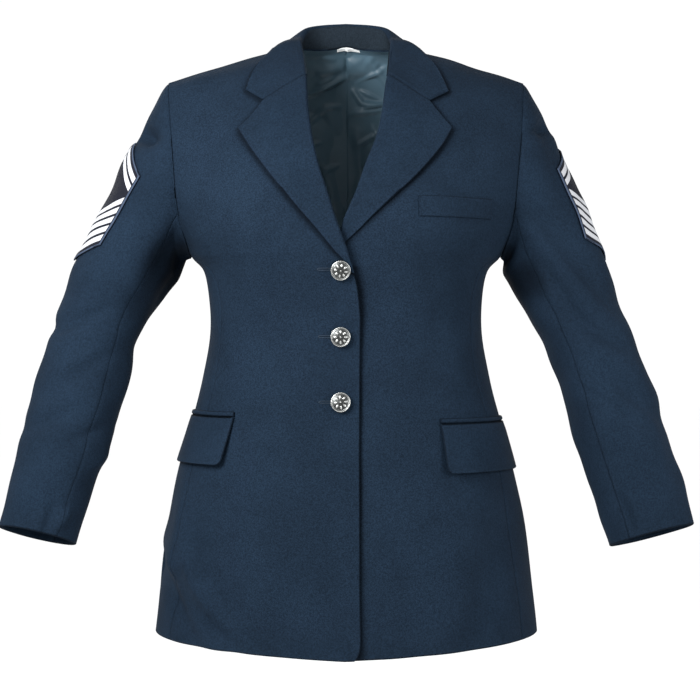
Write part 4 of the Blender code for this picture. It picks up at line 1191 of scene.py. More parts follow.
class Lapels(Piece):
    """The two lapels, rolled over the fronts' edges."""

    roll_steps = 11
    # The roll's turn from back to front in degrees, and how the lapel falls from its crest to its edge
    roll_turn = (-70.0, 70.0)
    fall_bend = 1.3
    width = 0.06

    def middle(self, side: Side, rows: Array) -> tuple[Array, Array]:
        """The middle surface: the roll round the front's edge, then the flap out to the lapel's edge.

        Args:
            side: The wearer's side.
            rows: Rows of the lapel's table.

        Returns:
            The points and the body's normals there.
        """
        table = LAPEL_ROWS[side.label]
        low = read_rows(table[: LAPEL_TIP + 1], np.minimum(rows, LAPEL_TIP))
        high = read_rows(table[LAPEL_TIP:], rows - LAPEL_TIP)
        roll_x, roll_z, outer_x, outer_z, edge, radius = np.where((rows > LAPEL_TIP)[:, None], high, low).T
        width = np.hypot(outer_x - roll_x, outer_z - roll_z)
        turn = np.radians(np.linspace(*self.roll_turn, self.roll_steps))[:, None]
        base = radius - BODY_WALL / 2
        places = list(radius * (1 - np.cos(turn)) / width)
        heights = list(base + radius * np.sin(turn))
        rolled, crest = places[-1], heights[-1]
        for part in spread(self.width, edge=MILLIMETRE)[1:]:
            places.append(between(rolled, 1.0, part))
            heights.append(between(edge, crest, math.cos(part * math.pi / 2) ** self.fall_bend))
        places, heights = np.stack(places, 1), np.stack(heights, 1)
        x = roll_x[:, None] + (outer_x - roll_x)[:, None] * places
        z = roll_z[:, None] + (outer_z - roll_z)[:, None] * places
        points, normals = self.body.on_front(side, x, z)
        return points + normals * (heights - underlap(side, points))[..., None], normals

    def lapel(self, side: Side) -> Cut:
        """One lapel, from its break up to the gorge seam."""
        above = np.linspace(LAPEL_TIP, LAPEL_TOP, 14)[1:]
        rows = np.concatenate([[0.0], np.linspace(0.04, LAPEL_TIP, 60), above])
        middle, guide = self.middle(side, rows)
        normals = turn_of(middle, guide)
        return Cut(
            f"lapel_{side.label}", middle + normals * LAPEL_WALL / 2, normals, LAPEL_WALL,
            gaps=(0.0, SEAM_OVERLAP, 0.0, 0.0), sewn=(False, True, False, False), faced=UNLINED,
            held="folded", rests_on=(f"front_{side.label}",),
        )

    def build(self) -> None:
        """Makes both lapels."""
        for side in Side:
            self.lapel(side).build(self.finishes.facing, self.finishes.wool)


class Collar(Piece):
    """The collar: the fall over the roll, and the stand inside it."""

    count = 58
    notch_part = 0.62
    front_part = 0.28
    floor = 0.0042
    softness = 0.0012
    up_part = 0.45
    stand_rise = 0.0024
    # The roll's turn in degrees, from inside the neck over the top
    roll_turn = (186.0, 60.0)

    def lines(self, side: Side) -> tuple[Array, Array, Array, Array]:
        """The roll's centre, the outer edge, the way up, and the part of the way to the middle back."""
        flip = (side.value, 1, 1)
        roll_x, roll_z, *_, radius = LAPEL_ROWS[side.label][-1]
        gorge, up_front = self.body.on_front(side, roll_x + radius, roll_z, radius - BODY_WALL / 2)
        fold = np.vstack([gorge * flip, np.array(COLLAR_FOLD)])
        edge = [self.body.on_front(side, *COLLAR_TIP[side.label], COLLAR_EDGE_HEIGHT)[0] * flip]
        edge += [self.body.on_front(side, x, z, COLLAR_EDGE_HEIGHT)[0] * flip for x, z in COLLAR_FRONT_EDGE]
        edge += [self.body.on_back(side, x, row, COLLAR_EDGE_HEIGHT)[0] * flip for x, row in COLLAR_BACK_EDGE]
        part = np.linspace(0, 1, self.count)
        fold = read_rows(fold, part * (len(fold) - 1))
        edge = read_rows(np.array(edge), part * (len(edge) - 1))
        up = unit(between(up_front * flip, np.array([0.0, 0.0, 1.0]), ease(part / self.up_part)[:, None]))
        return fold * flip, edge * flip, up * flip, part

    def gorge(self, side: Side, shares: Array, tip: Array) -> Array:
        """The collar's front end: the lapel's own top row to the notch, then out to the collar's tip.

        Args:
            side: The wearer's side.
            shares: Parts of the way from the roll to the edge.
            tip: The collar's tip.

        Returns:
            The points round the roll and at each share.
        """
        row, _ = Lapels(self.body, self.finishes).middle(side, np.array([float(LAPEL_TOP)]))
        roll, flap = row[0, : Lapels.roll_steps], row[0, Lapels.roll_steps - 1 :]
        run = np.concatenate([[0.0], np.cumsum(np.linalg.norm(np.diff(flap, axis=0), axis=1))])
        places = np.minimum(shares / self.notch_part, 1.0) * run[-1]
        seam = np.stack([np.interp(places, run, flap[:, axis]) for axis in range(3)], -1)
        past = np.clip((shares - self.notch_part) / (1 - self.notch_part), 0, 1)[:, None]
        return np.concatenate([roll, between(seam, tip, past)])

    def outward(self, fold: Array, edge: Array, up: Array) -> Array:
        """The way from the roll towards the outer edge, square to the way up."""
        out = edge - fold
        return unit(out - up * np.sum(out * up, -1, keepdims=True))

    def half(self, side: Side) -> Array:
        """Middle surface of half the collar: over the roll and down the fall."""
        fold, edge, up, part = self.lines(side)
        out = self.outward(fold, edge, up)
        turns = np.radians(np.linspace(*self.roll_turn, Lapels.roll_steps))
        points = [fold + FOLD_RADIUS * (math.cos(turn) * out + math.sin(turn) * up) for turn in turns]
        start = points[-1]
        control = (start + edge) / 2 + unit(out + up) * COLLAR_CROWN
        shares = spread(Lapels.width, edge=MILLIMETRE)[1:]
        for share in shares:
            points.append(start * (1 - share) ** 2 + control * 2 * share * (1 - share) + edge * share**2)
        points = np.stack(points, 1)
        target = self.gorge(side, shares, edge[0])
        points = points + (target - points[0]) * np.clip(1 - part / self.front_part, 0, 1)[:, None, None]
        flap = points[:, len(turns) :]
        floor = self.body.height_under(side, flap[..., 0] * side.value, flap[..., 1]) + self.floor
        over = (flap[..., 2] - floor) / self.softness
        lifted = floor + self.softness * np.logaddexp(0, over)
        flap[..., 2] = between(flap[..., 2], lifted, ease(part / self.front_part * 3)[:, None])
        return points

    def fall(self) -> Cut:
        """The collar's fall, in one from tip to tip."""
        right, left = self.half(Side.RIGHT), self.half(Side.LEFT)
        middle = np.concatenate([right, left[-2::-1]])
        normals = turn_of(middle, np.broadcast_to((0.0, 0.0, 1.0), middle.shape))
        return Cut(
            "collar_fall", middle + normals * COLLAR_WALL / 2, normals, COLLAR_WALL,
            gaps=(SEAM_OVERLAP, SEAM_OVERLAP, 0.0, 0.0), sewn=(True, True, True, False), faced=UNLINED,
            held="folded", rests_on=BACKS,
        )

    def stand(self) -> Cut:
        """The collar's stand: its inner face, from just under the roll down to the neck seam."""
        ends = []
        for side in Side:
            fold, edge, up, part = self.lines(side)
            out = self.outward(fold, edge, up)
            top = fold - out * (FOLD_RADIUS + COLLAR_WALL / 2 - SEAM_GAP) + up * self.stand_rise
            neck_x, neck_row = (np.interp(part, STAND_FOOT[0], places) for places in STAND_FOOT[1:])
            seam = self.body.on_back(side, neck_x, np.maximum(neck_row, BACK_NECK_ROW), -0.0036)[0]
            seam[..., 2] += neck_inside(neck_x)[1] - 0.0012
            foot = between(top - up * 0.0045, seam, ease((part - 0.18) / 0.20)[:, None])
            ends.append((top, foot, out))
        top, foot, out = (np.concatenate([right, left[-2::-1]]) for right, left in zip(*ends))
        parts = np.linspace(0, 1, 10)
        inner_face = np.stack([between(top, foot, part) for part in parts], 1)
        return Cut(
            "collar_stand", inner_face, -np.stack([out] * len(parts), 1), COLLAR_WALL * 0.9,
            sewn=(False, False, True, True), faced=UNLINED, rests_on=BACKS,
        )

    def build(self) -> None:
        """Makes the fall and the stand."""
        self.fall().build(self.finishes.wool, self.finishes.wool)
        self.stand().build(self.finishes.stand_wool_painted_shade, self.finishes.wool)


class Pockets(Piece):
    """The lower pockets' flaps and jets, and the breast welt."""

    width = 0.14
    jet_crown = 0.0009
    welt_stand = 0.0008
    # How far a flap stands off at its seam, how much more just below it, and how slowly that comes
    flap_stand = (0.0002, 0.0008, 5)
    # How soon the foot of a flap comes back to the cloth towards the back, and how much it keeps there
    flap_settle = (1.2, 0.15)

    def strip(
        self, side: Side, front_x: float, z: float, back_end: float, parts: Array
    ) -> tuple[float, Array]:
        """A line that starts on the front and wraps round the side to the back.

        Args:
            side: The wearer's side.
            front_x: Where it starts, from the middle.
            z: Its height there.
            back_end: How far across the back it ends.
            parts: Parts of the way along it.

        Returns:
            Its row, and how far across it is at each part.
        """
        row = self.body.find_row(Face.FRONT, side, front_x, z, 2, 0, FRONT_TOP)
        start = self.body.across_at(Face.FRONT, row, front_x)
        return float(row), between(float(start), 2.0 - back_end, parts)

    def wrapped(self, side: Side, row: float, reach: Array, height) -> tuple[Array, Array]:
        """Points of a line that wraps round the side.

        Args:
            side: The wearer's side.
            row: The line's row.
            reach: How far across: up to 1 on the front, and past 1 on the back.
            height: How far the points are moved out.

        Returns:
            The points and the normals there.
        """
        front, front_normal = self.body.surface(Face.FRONT, side, row, np.minimum(reach, 1.0), height)
        back, back_normal = self.body.surface(Face.BACK, side, row, np.minimum(2.0 - reach, 1.0), height)
        behind = (reach > 1.0)[..., None]
        return np.where(behind, back, front), np.where(behind, back_normal, front_normal)

    def flap(self, side: Side) -> Cut:
        """A pocket flap, standing off at its foot, with a rounded front corner."""
        top_x, foot_x, top_z, height, back_end = FLAPS[side.label]
        parts = spread(self.width, edge=MILLIMETRE)
        outer, normals = [], []
        for part in spread(height, 0.0032, 0.0009):
            low = np.clip((part * height - height + FLAP_CORNER) / FLAP_CORNER, 0, 1)
            front_x = between(top_x, foot_x, part) + FLAP_CORNER * (1 - math.sqrt(1 - low**2))
            row, reach = self.strip(side, front_x, top_z - height * part, back_end, parts)
            pace, least = self.flap_settle
            share = np.clip(1 - (reach - reach[0]) / (reach[-1] - reach[0]) * pace, least, 1)
            start, more, haste = self.flap_stand
            stand = start + more * min(haste * part, 1) + FLAP_FOOT_STAND * part**1.5 * share
            points, normal = self.wrapped(side, row, reach, stand + FLAP_WALL)
            outer.append(points)
            normals.append(normal)
        return Cut(
            f"pocket_flap_{side.label}", np.array(outer), np.array(normals), FLAP_WALL,
            sewn=(True, False, False, False), faced=0.004,
            rests_on=(f"front_{side.label}", f"side_{side.label}"),
        )

    def jets(self, side: Side) -> Cut:
        """The narrow jet above a flap."""
        top_x, _, top_z, _, back_end = FLAPS[side.label]
        outer, normals = [], []
        for part in np.linspace(0, 1, 5):
            z = top_z + JET_GAP + JET_HEIGHT * part
            row, reach = self.strip(side, top_x, z, back_end, spread(self.width))
            crown = self.jet_crown * math.sin(math.pi * part)
            points, normal = self.wrapped(side, row, reach, LAYER_GAP + JET_WALL + crown)
            outer.append(points)
            normals.append(normal)
        return Cut(
            f"pocket_jet_{side.label}", np.array(outer), np.array(normals), JET_WALL,
            sewn=(True, False, False, False), faced=UNLINED, is_trim=True,
        )

    def welt(self) -> Cut:
        """The breast welt, standing off a little at its open top."""
        x_from, x_to, top, foot = WELT
        parts = spread(top - foot, 0.0030, 0.0009)
        places = between(x_from, x_to, spread(x_to - x_from, edge=MILLIMETRE))
        x, z = np.meshgrid(places, between(foot, top, parts))
        stand = self.welt_stand * parts[:, None] ** 2 * np.sin(np.pi * (x - x_from) / (x_to - x_from))
        points, normals = self.body.on_front(Side.LEFT, x, z, LAYER_GAP + WELT_WALL + stand)
        return Cut(
            "breast_welt", points, normals, WELT_WALL, sewn=(True, False, True, True), faced=UNLINED,
            rests_on=("front_left",),
        )

    def build(self) -> None:
        """Makes both flaps, both jets and the welt."""
        for side in Side:
            jets = self.jets(side).build(self.finishes.wool, self.finishes.wool)
            self.flap(side).build(self.finishes.wool, self.finishes.satin, [jets])
        self.welt().build(self.finishes.wool, self.finishes.wool)


class Canvas:
    """Adds and joins the nodes of one tree."""

    def __init__(self, tree: bpy.types.NodeTree) -> None:
        self.tree = tree
        self.placed = 0

    def add(self, kind: str, inputs: dict | None = None, **settings) -> bpy.types.Node:
        """Adds a node.

        Args:
            kind: The node's type.
            inputs: A value or a socket to join, by the input's name or number.
            **settings: The node's own properties.

        Returns:
            The node.
        """
        node = self.tree.nodes.new(kind)
        node.location = (190 * (self.placed % 12), -260 * (self.placed // 12))
        self.placed += 1
        for name, value in settings.items():
            setattr(node, name, value)
        self.feed(node, inputs or {})
        return node

    def feed(self, node: bpy.types.Node, inputs: dict) -> None:
        """Gives a node's inputs their values, or joins sockets to them."""
        for key, value in inputs.items():
            if isinstance(value, Socket):
                self.tree.links.new(value, node.inputs[key])
            else:
                node.inputs[key].default_value = value

    def place(self) -> Socket:
        """Where a point lies on the object, in metres."""
        return self.add("ShaderNodeTexCoord").outputs["Object"]

    def cloth(self) -> Socket:
        """Where a point lies on the flat cloth, in metres."""
        return self.add("ShaderNodeUVMap", uv_map="cloth").outputs[0]

    def math(self, operation: str, *values, clamp: bool = False) -> Socket:
        """A sum of one to three values, as the output of a Math node."""
        node = self.add("ShaderNodeMath", dict(enumerate(values)), operation=operation, use_clamp=clamp)
        return node.outputs[0]

    def rise(self, value, low: float, high: float, start: float = 0.0, end: float = 1.0) -> Socket:
        """The value mapped smoothly from one range to another.

        Args:
            value: What to map.
            low: Where the first range begins.
            high: Where it ends.
            start: Where the second range begins.
            end: Where it ends.

        Returns:
            The mapped value.
        """
        inputs = {"Value": value, "From Min": low, "From Max": high, "To Min": start, "To Max": end}
        return self.add("ShaderNodeMapRange", inputs, interpolation_type="SMOOTHSTEP").outputs["Result"]

    def noise(self, vector, scale: float, detail: float = 2.0, rough: float = 0.5) -> Socket:
        """The value of a noise texture."""
        inputs = {"Vector": vector, "Scale": scale, "Detail": detail, "Roughness": rough}
        return self.add("ShaderNodeTexNoise", inputs).outputs[0]

    def attribute(self, name: str) -> Socket:
        """A number that the mesh carries at each point."""
        return self.add("ShaderNodeAttribute", attribute_name=name, attribute_type="GEOMETRY").outputs["Fac"]

    def mix(self, factor, first, second, blend: str = "MIX") -> Socket:
        """Two colours mixed."""
        node = self.add("ShaderNodeMix", data_type="RGBA", blend_type=blend)
        self.feed(node, {0: factor, 6: first, 7: second})
        return node.outputs[2]


VALUE = "NodeSocketFloat"
VECTOR = "NodeSocketVector"


class Effect(ABC):
    """A node group that more than one material uses."""

    name: str
    takes: tuple[tuple[str, str, float], ...] = ()
    gives: tuple[str, ...] = ()

    def group(self) -> bpy.types.NodeTree:
        """The group, made the first time that it is asked for."""
        found = bpy.data.node_groups.get(self.name)
        if found:
            return found
        tree = bpy.data.node_groups.new(self.name, "ShaderNodeTree")
        for name, kind, value in self.takes:
            socket = tree.interface.new_socket(name, in_out="INPUT", socket_type=kind)
            if kind == VALUE:
                socket.default_value = value
        for name in self.gives:
            tree.interface.new_socket(name, in_out="OUTPUT", socket_type=VALUE)
        canvas = Canvas(tree)
        entry, leave = canvas.add("NodeGroupInput"), tree.nodes.new("NodeGroupOutput")
        leave.location = (2400, 0)
        for name, value in self.draw(canvas, entry.outputs).items():
            tree.links.new(value, leave.inputs[name])
        return tree

    @abstractmethod
    def draw(self, canvas: Canvas, takes: Sockets) -> dict[str, Socket]:
        """Adds the group's nodes and returns what it puts out, by name."""

    def use(self, canvas: Canvas, **inputs) -> bpy.types.Node:
        """A node of this group in a material."""
        node = canvas.add("ShaderNodeGroup", node_tree=self.group())
        canvas.feed(node, inputs)
        return node


class Heather(Effect):
    """The speckle of dark and light wool fibres: a mask for the colour and a height in millimetres."""

    name = "heather"
    takes = (("Place", VECTOR, 0.0), ("Grain", VALUE, 1500.0))
    gives = ("Fleck", "Cloud", "Height")

    def draw(self, canvas: Canvas, takes: Sockets) -> dict[str, Socket]:
        """Fine and middling noise for the fibres, and slow noise for the dye."""
        fine = canvas.noise(takes["Place"], takes["Grain"], 2.0, 0.6)
        middling = canvas.noise(takes["Place"], canvas.math("MULTIPLY", takes["Grain"], 0.42), 2.0, 0.6)
        fleck = canvas.math("MULTIPLY_ADD", middling, 0.55, canvas.math("MULTIPLY", fine, 0.45))
        cloud = canvas.noise(takes["Place"], 14.0, 3.0, 0.55)
        height = canvas.math("MULTIPLY", fleck, 0.08)
        fleck, cloud = canvas.rise(fleck, 0.38, 0.62), canvas.rise(cloud, 0.3, 0.7)
        return {"Fleck": fleck, "Cloud": cloud, "Height": height}


class Twill(Effect):
    """The fine diagonal ribs of the weave, from a UV map in metres: a height in millimetres."""

    name = "twill"
    takes = (("Place", VECTOR, 0.0), ("Pitch", VALUE, 0.0011))
    gives = ("Height", "Rib")

    def draw(self, canvas: Canvas, takes: Sockets) -> dict[str, Socket]:
        """Sine ribs across the diagonal."""
        axes = canvas.add("ShaderNodeSeparateXYZ", {0: takes["Place"]})
        diagonal = canvas.math("MULTIPLY_ADD", axes.outputs[1], 0.85, axes.outputs[0])
        turns = canvas.math("MULTIPLY", canvas.math("DIVIDE", diagonal, takes["Pitch"]), 2 * math.pi)
        rib = canvas.math("MULTIPLY_ADD", canvas.math("SINE", turns), 0.5, 0.5)
        return {"Height": canvas.math("MULTIPLY", rib, 0.05), "Rib": rib}


class SeamDipAndShade(Effect):
    """How a panel sinks towards its sewn edge and thickens at its free one: a height in mm, and painted
    shade.
    """

    name = "seam_dip_and_shade"
    gives = ("Height", "Shade")

    def draw(self, canvas: Canvas, takes: Sockets) -> dict[str, Socket]:
        """A dip beside each seam, a soft press line inside each free edge, painted shade lines on both, and
        painted shadow.
        """
        seam, free = canvas.attribute("seam"), canvas.attribute("free")
        dip = canvas.rise(seam, 0.0, 0.0045, -0.30, 0.0)
        press = canvas.rise(free, 0.0030, 0.0070, 0.12, 0.0)
        # Painted shade: a darker line along each seam and each free edge, times the painted shadow
        lines = canvas.rise(seam, 0, 0.0025, 0.86, 1), canvas.rise(free, 0, 0.0014, 0.55, 1)
        shadow = canvas.rise(canvas.attribute("shadow"), 0, 1, 1.0, 0.42)
        shade = canvas.math("MULTIPLY", canvas.math("MINIMUM", *lines), shadow)
        return {"Height": canvas.math("ADD", dip, press), "Shade": shade}


class Wrinkle(Effect):
    """Small soft unevenness that the mesh is too coarse for: a height in millimetres."""

    name = "wrinkle"
    takes = (("Place", VECTOR, 0.0), ("Size", VALUE, 22.0))
    gives = ("Height",)

    def draw(self, canvas: Canvas, takes: Sockets) -> dict[str, Socket]:
        """Slow noise."""
        slow = canvas.noise(takes["Place"], takes["Size"], 1.5, 0.45)
        return {"Height": canvas.math("MULTIPLY", slow, 1.1)}


def solid(colour: Colour, share: float = 1.0) -> tuple[float, float, float, float]:
    """A share of a colour, with no transparency."""
    return (*(value * share for value in colour), 1.0)


def new_material(name: str, **settings: float) -> tuple[bpy.types.Material, Canvas, bpy.types.Node]:
    """A material with its canvas and its shader, whose inputs are spelled with _ for a space."""
    material = bpy.data.materials.new(name)
    material.use_nodes = True
    material.node_tree.nodes.clear()
    canvas = Canvas(material.node_tree)
    inputs = {name.replace("_", " "): value for name, value in settings.items()}
    shader = canvas.add("ShaderNodeBsdfPrincipled", inputs)
    out = canvas.add("ShaderNodeOutputMaterial")
    canvas.tree.links.new(shader.outputs[0], out.inputs[0])
    return material, canvas, shader


def join(canvas: Canvas, shader: bpy.types.Node, colour, height: Socket | None = None) -> None:
    """Joins a colour and a height to a shader.

    Args:
        canvas: The material's nodes.
        shader: Its shader.
        colour: A colour or the socket of one.
        height: The socket of a height in millimetres.
    """
    canvas.feed(shader, {"Base Color": colour})
    if height is not None:
        bump = canvas.add("ShaderNodeBump", {"Strength": 1.0, "Distance": MILLIMETRE, "Height": height})
        canvas.feed(shader, {"Normal": bump.outputs[0]})


@dataclass(frozen=True)
class WoolFinish:
    """Heathered twill, with the seams' dips and the painted shade of seams, free edges and shadows."""

    name: str
    colour: Colour
    fleck: float = 0.32
    wrinkle: float = 0.5

    def build(self) -> bpy.types.Material:
        """Makes the material."""
        material, canvas, shader = new_material(self.name, Roughness=0.88, Specular_IOR_Level=0.035)
        place, cloth = canvas.place(), canvas.cloth()
        heather = Heather().use(canvas, Place=place)
        twill = Twill().use(canvas, Place=cloth)
        dip = SeamDipAndShade().use(canvas)
        wrinkle = Wrinkle().use(canvas, Place=place)
        dark, light = solid(self.colour, 1 - self.fleck), solid(self.colour, 1 + self.fleck)
        colour = canvas.mix(heather.outputs["Fleck"], dark, light)
        cloud = canvas.rise(heather.outputs["Cloud"], 0, 1, 0.90, 1.08)
        # The dye's slow cloud times the painted shade of the seams, the free edges and the shadows
        shade = canvas.math("MULTIPLY", cloud, dip.outputs["Shade"])
        dye_and_painted_shade = canvas.add("ShaderNodeCombineColor", {0: shade, 1: shade, 2: shade}).outputs[0]
        colour = canvas.mix(1.0, colour, dye_and_painted_shade, "MULTIPLY")
        height = canvas.math("ADD", heather.outputs["Height"], twill.outputs["Height"])
        height = canvas.math("ADD", height, dip.outputs["Height"])
        height = canvas.math("MULTIPLY_ADD", wrinkle.outputs["Height"], self.wrinkle, height)
        join(canvas, shader, colour, height)
        return material


@dataclass(frozen=True)
class SatinFinish:
    """Smooth lining with a soft shine along its threads."""

    name: str
    colour: Colour
    roughness: float = 0.42

    def build(self) -> bpy.types.Material:
        """Makes the material."""
        settings = {"Roughness": self.roughness, "Specular_IOR_Level": 0.20, "Anisotropic": 0.4}
        material, canvas, shader = new_material(self.name, **settings)
        place, cloth = canvas.place(), canvas.cloth()
        twill = Twill().use(canvas, Place=cloth, Pitch=0.0007)
        wrinkle = Wrinkle().use(canvas, Place=place, Size=55.0)
        ribs = canvas.math("MULTIPLY", twill.outputs["Height"], 0.3)
        height = canvas.math("MULTIPLY_ADD", wrinkle.outputs["Height"], 1.5, ribs)
        join(canvas, shader, solid(self.colour), height)
        return material


@dataclass(frozen=True)
class EmbroideryFinish:
    """A patch: a merrowed border, white chevrons on black, five along its foot and two along its top.

    Each band of chevrons is given by where it starts from its own edge, its pitch and its count.
    """

    name: str = "embroidery"
    white: Colour = (0.36, 0.37, 0.39)
    black: Colour = (0.0045, 0.0055, 0.0095)
    edge: Colour = (0.030, 0.042, 0.068)
    foot: tuple[float, float, int] = (0.0030, 0.0118, 5)
    top: tuple[float, float, int] = (0.0030, 0.0100, 2)

    def build(self) -> bpy.types.Material:
        """Makes the material."""
        material, canvas, shader = new_material(self.name, Roughness=0.80, Specular_IOR_Level=0.08)
        cloth = canvas.cloth()
        free = canvas.attribute("free")
        bands = [self.band(canvas, "patch_foot", *self.foot), self.band(canvas, "patch_top", *self.top)]
        white = canvas.math("MULTIPLY", canvas.math("MAXIMUM", *bands), canvas.rise(free, 0.0034, 0.0038))
        border = canvas.rise(free, 0.0020, 0.0024, 1.0, 0.0)
        threads = Twill().use(canvas, Place=cloth, Pitch=0.0009)
        white_colour = canvas.mix(threads.outputs["Rib"], solid(self.white, 0.80), solid(self.white))
        colour = canvas.mix(white, solid(self.black), white_colour)
        colour = canvas.mix(border, colour, solid(self.edge))
        twist = canvas.math("MULTIPLY", threads.outputs["Height"], 1.6)
        height = canvas.math("MULTIPLY_ADD", white, 0.45, twist)
        height = canvas.math("MULTIPLY_ADD", border, 0.8, height)
        join(canvas, shader, colour, height)
        return material

    def band(self, canvas: Canvas, edge: str, start: float, pitch: float, count: int) -> Socket:
        """A mask of stripes that run along an edge, each taking most of its pitch."""
        place = canvas.math("DIVIDE", canvas.math("SUBTRACT", canvas.attribute(edge), start), pitch)
        stripe = canvas.rise(canvas.math("FRACT", place), 0.30, 0.36)
        within = canvas.math("COMPARE", place, count / 2, count / 2)
        return canvas.math("MULTIPLY", stripe, within)


@dataclass(frozen=True)
class PewterFinish:
    """Antique pewter, darker in its hollows."""

    name: str = "antique_pewter"
    colour: Colour = (0.40, 0.41, 0.40)
    dark: Colour = (0.030, 0.032, 0.032)

    def build(self) -> bpy.types.Material:
        """Makes the material."""
        material, canvas, shader = new_material(self.name, Roughness=0.34, Metallic=1.0)
        tarnish = canvas.rise(canvas.noise(canvas.place(), 900.0, 3.0, 0.6), 0.42, 0.62)
        worn = canvas.rise(canvas.attribute("hollow"), 0.15, 0.9)
        mask = canvas.math("MULTIPLY_ADD", tarnish, 0.25, worn, clamp=True)
        colour = canvas.mix(mask, solid(self.colour), solid(self.dark))
        join(canvas, shader, colour, canvas.math("MULTIPLY", tarnish, 0.04))
        return material


@dataclass(frozen=True)
class ThreadFinish:
    """Thread or tape: one colour with a fine twist."""

    name: str
    colour: Colour
    roughness: float = 0.7

    def build(self) -> bpy.types.Material:
        """Makes the material."""
        settings = {"Roughness": self.roughness, "Specular_IOR_Level": 0.08}
        material, canvas, shader = new_material(self.name, **settings)
        grain = canvas.noise(canvas.place(), 1500.0, 2.0, 0.6)
        colour = canvas.mix(grain, solid(self.colour, 0.82), solid(self.colour))
        join(canvas, shader, colour, canvas.math("MULTIPLY", grain, 0.12))
        return material


class Finishes:
    """Every material, made once."""

    def __init__(self) -> None:
        navy = (0.0052, 0.0106, 0.0193)
        self.wool = WoolFinish("navy_wool", navy).build()
        self.front = WoolFinish("navy_wool_front", navy, wrinkle=0.45).build()
        self.facing = WoolFinish("navy_wool_facing", navy, wrinkle=0.25).build()
        # The stand's greyer navy is painted shade, for its place inside the collar
        self.stand_wool_painted_shade = WoolFinish("navy_wool_stand_painted_shade", (0.0078, 0.0118, 0.0165), wrinkle=0.6).build()
        self.satin = SatinFinish("lining_satin", (0.0440, 0.0790, 0.1050)).build()
        self.embroidery = EmbroideryFinish().build()
        self.pewter = PewterFinish().build()
        self.buttonhole = ThreadFinish("buttonhole_thread", (0.0130, 0.0210, 0.0330)).build()
        self.tape = ThreadFinish("label_tape", (0.78, 0.80, 0.80)).build()


# Wrinkles of the lining, as lines of (x, z) seen through the neck, from the photo
LINING_CREASES = (
    Crease(((-0.0477, -0.0386), (-0.0240, -0.0265), (0.0000, -0.0160)), 0.0036, 0.0043),
    Crease(((-0.0298, 0.0013), (-0.0143, 0.0007)), 0.0019, 0.0030),
    Crease(((0.0103, -0.0019), (0.0239, 0.0049), (0.0465, -0.0226)), 0.0040, 0.0034),
    Crease(((0.0239, -0.0034), (0.0489, 0.0139)), 0.0036, 0.0041),
    Crease(((0.0084, -0.0333), (0.0191, -0.0476), (0.0435, -0.0494)), 0.0026, 0.0049),
    Crease(((0.0165, -0.0220), (0.0330, -0.0300), (0.0440, -0.0405)), 0.0072, -0.0057),
    Crease(((0.0103, -0.0559), (0.0435, -0.0476)), 0.0024, 0.0030),
    Crease(((0.0346, -0.0124), (0.0489, -0.0019)), 0.0022, -0.0035),
    Crease(((-0.0060, 0.0122), (-0.0012, 0.0038), (0.0048, 0.0026), (0.0107, 0.0098)), 0.0016, -0.0030),
    Crease(((-0.0500, -0.0020), (-0.0300, -0.0120), (-0.0060, -0.0070)), 0.0050, 0.0032),
    Crease(((-0.0460, -0.0560), (-0.0300, -0.0620), (-0.0120, -0.0900)), 0.0058, -0.0030),
    Crease(((-0.0400, -0.1000), (-0.0250, -0.1250), (-0.0100, -0.1800)), 0.0072, 0.0030),
    Crease(((0.0320, -0.0720), (0.0380, -0.0860)), 0.0032, 0.0027),
    Crease(((0.0120, -0.0800), (0.0180, -0.1300), (0.0120, -0.1900)), 0.0058, 0.0030),
    Crease(((-0.0356, -0.0329), (-0.0007, -0.0188)), 0.0026, 0.0036),
    Crease(((-0.0340, -0.0251), (-0.0153, -0.0171)), 0.0022, 0.0030),
    Crease(((0.0056, -0.0600), (0.0422, -0.0552)), 0.0024, 0.0038),
    Crease(((0.0183, -0.0329), (0.0422, -0.0442)), 0.0026, 0.0036),
    Crease(((0.0136, -0.0251), (0.0437, -0.0091)), 0.0026, 0.0034),
    Crease(((-0.0420, -0.0960), (-0.0309, -0.0935)), 0.0024, 0.0030),
    Crease(((-0.0341, -0.1299), (-0.0087, -0.1204)), 0.0028, 0.0034),
    Crease(((0.0105, -0.0982), (0.0390, -0.0823)), 0.0028, 0.0034),
    Crease(((-0.0440, -0.0700), (-0.0250, -0.0520), (-0.0050, -0.0500)), 0.0030, 0.0034),
    Crease(
        ((0.0012, 0.0120), (0.0008, -0.0600), (0.0015, -0.1400), (0.0020, -0.2300)), 0.0022, 0.0006, 0.0034
    ),
)


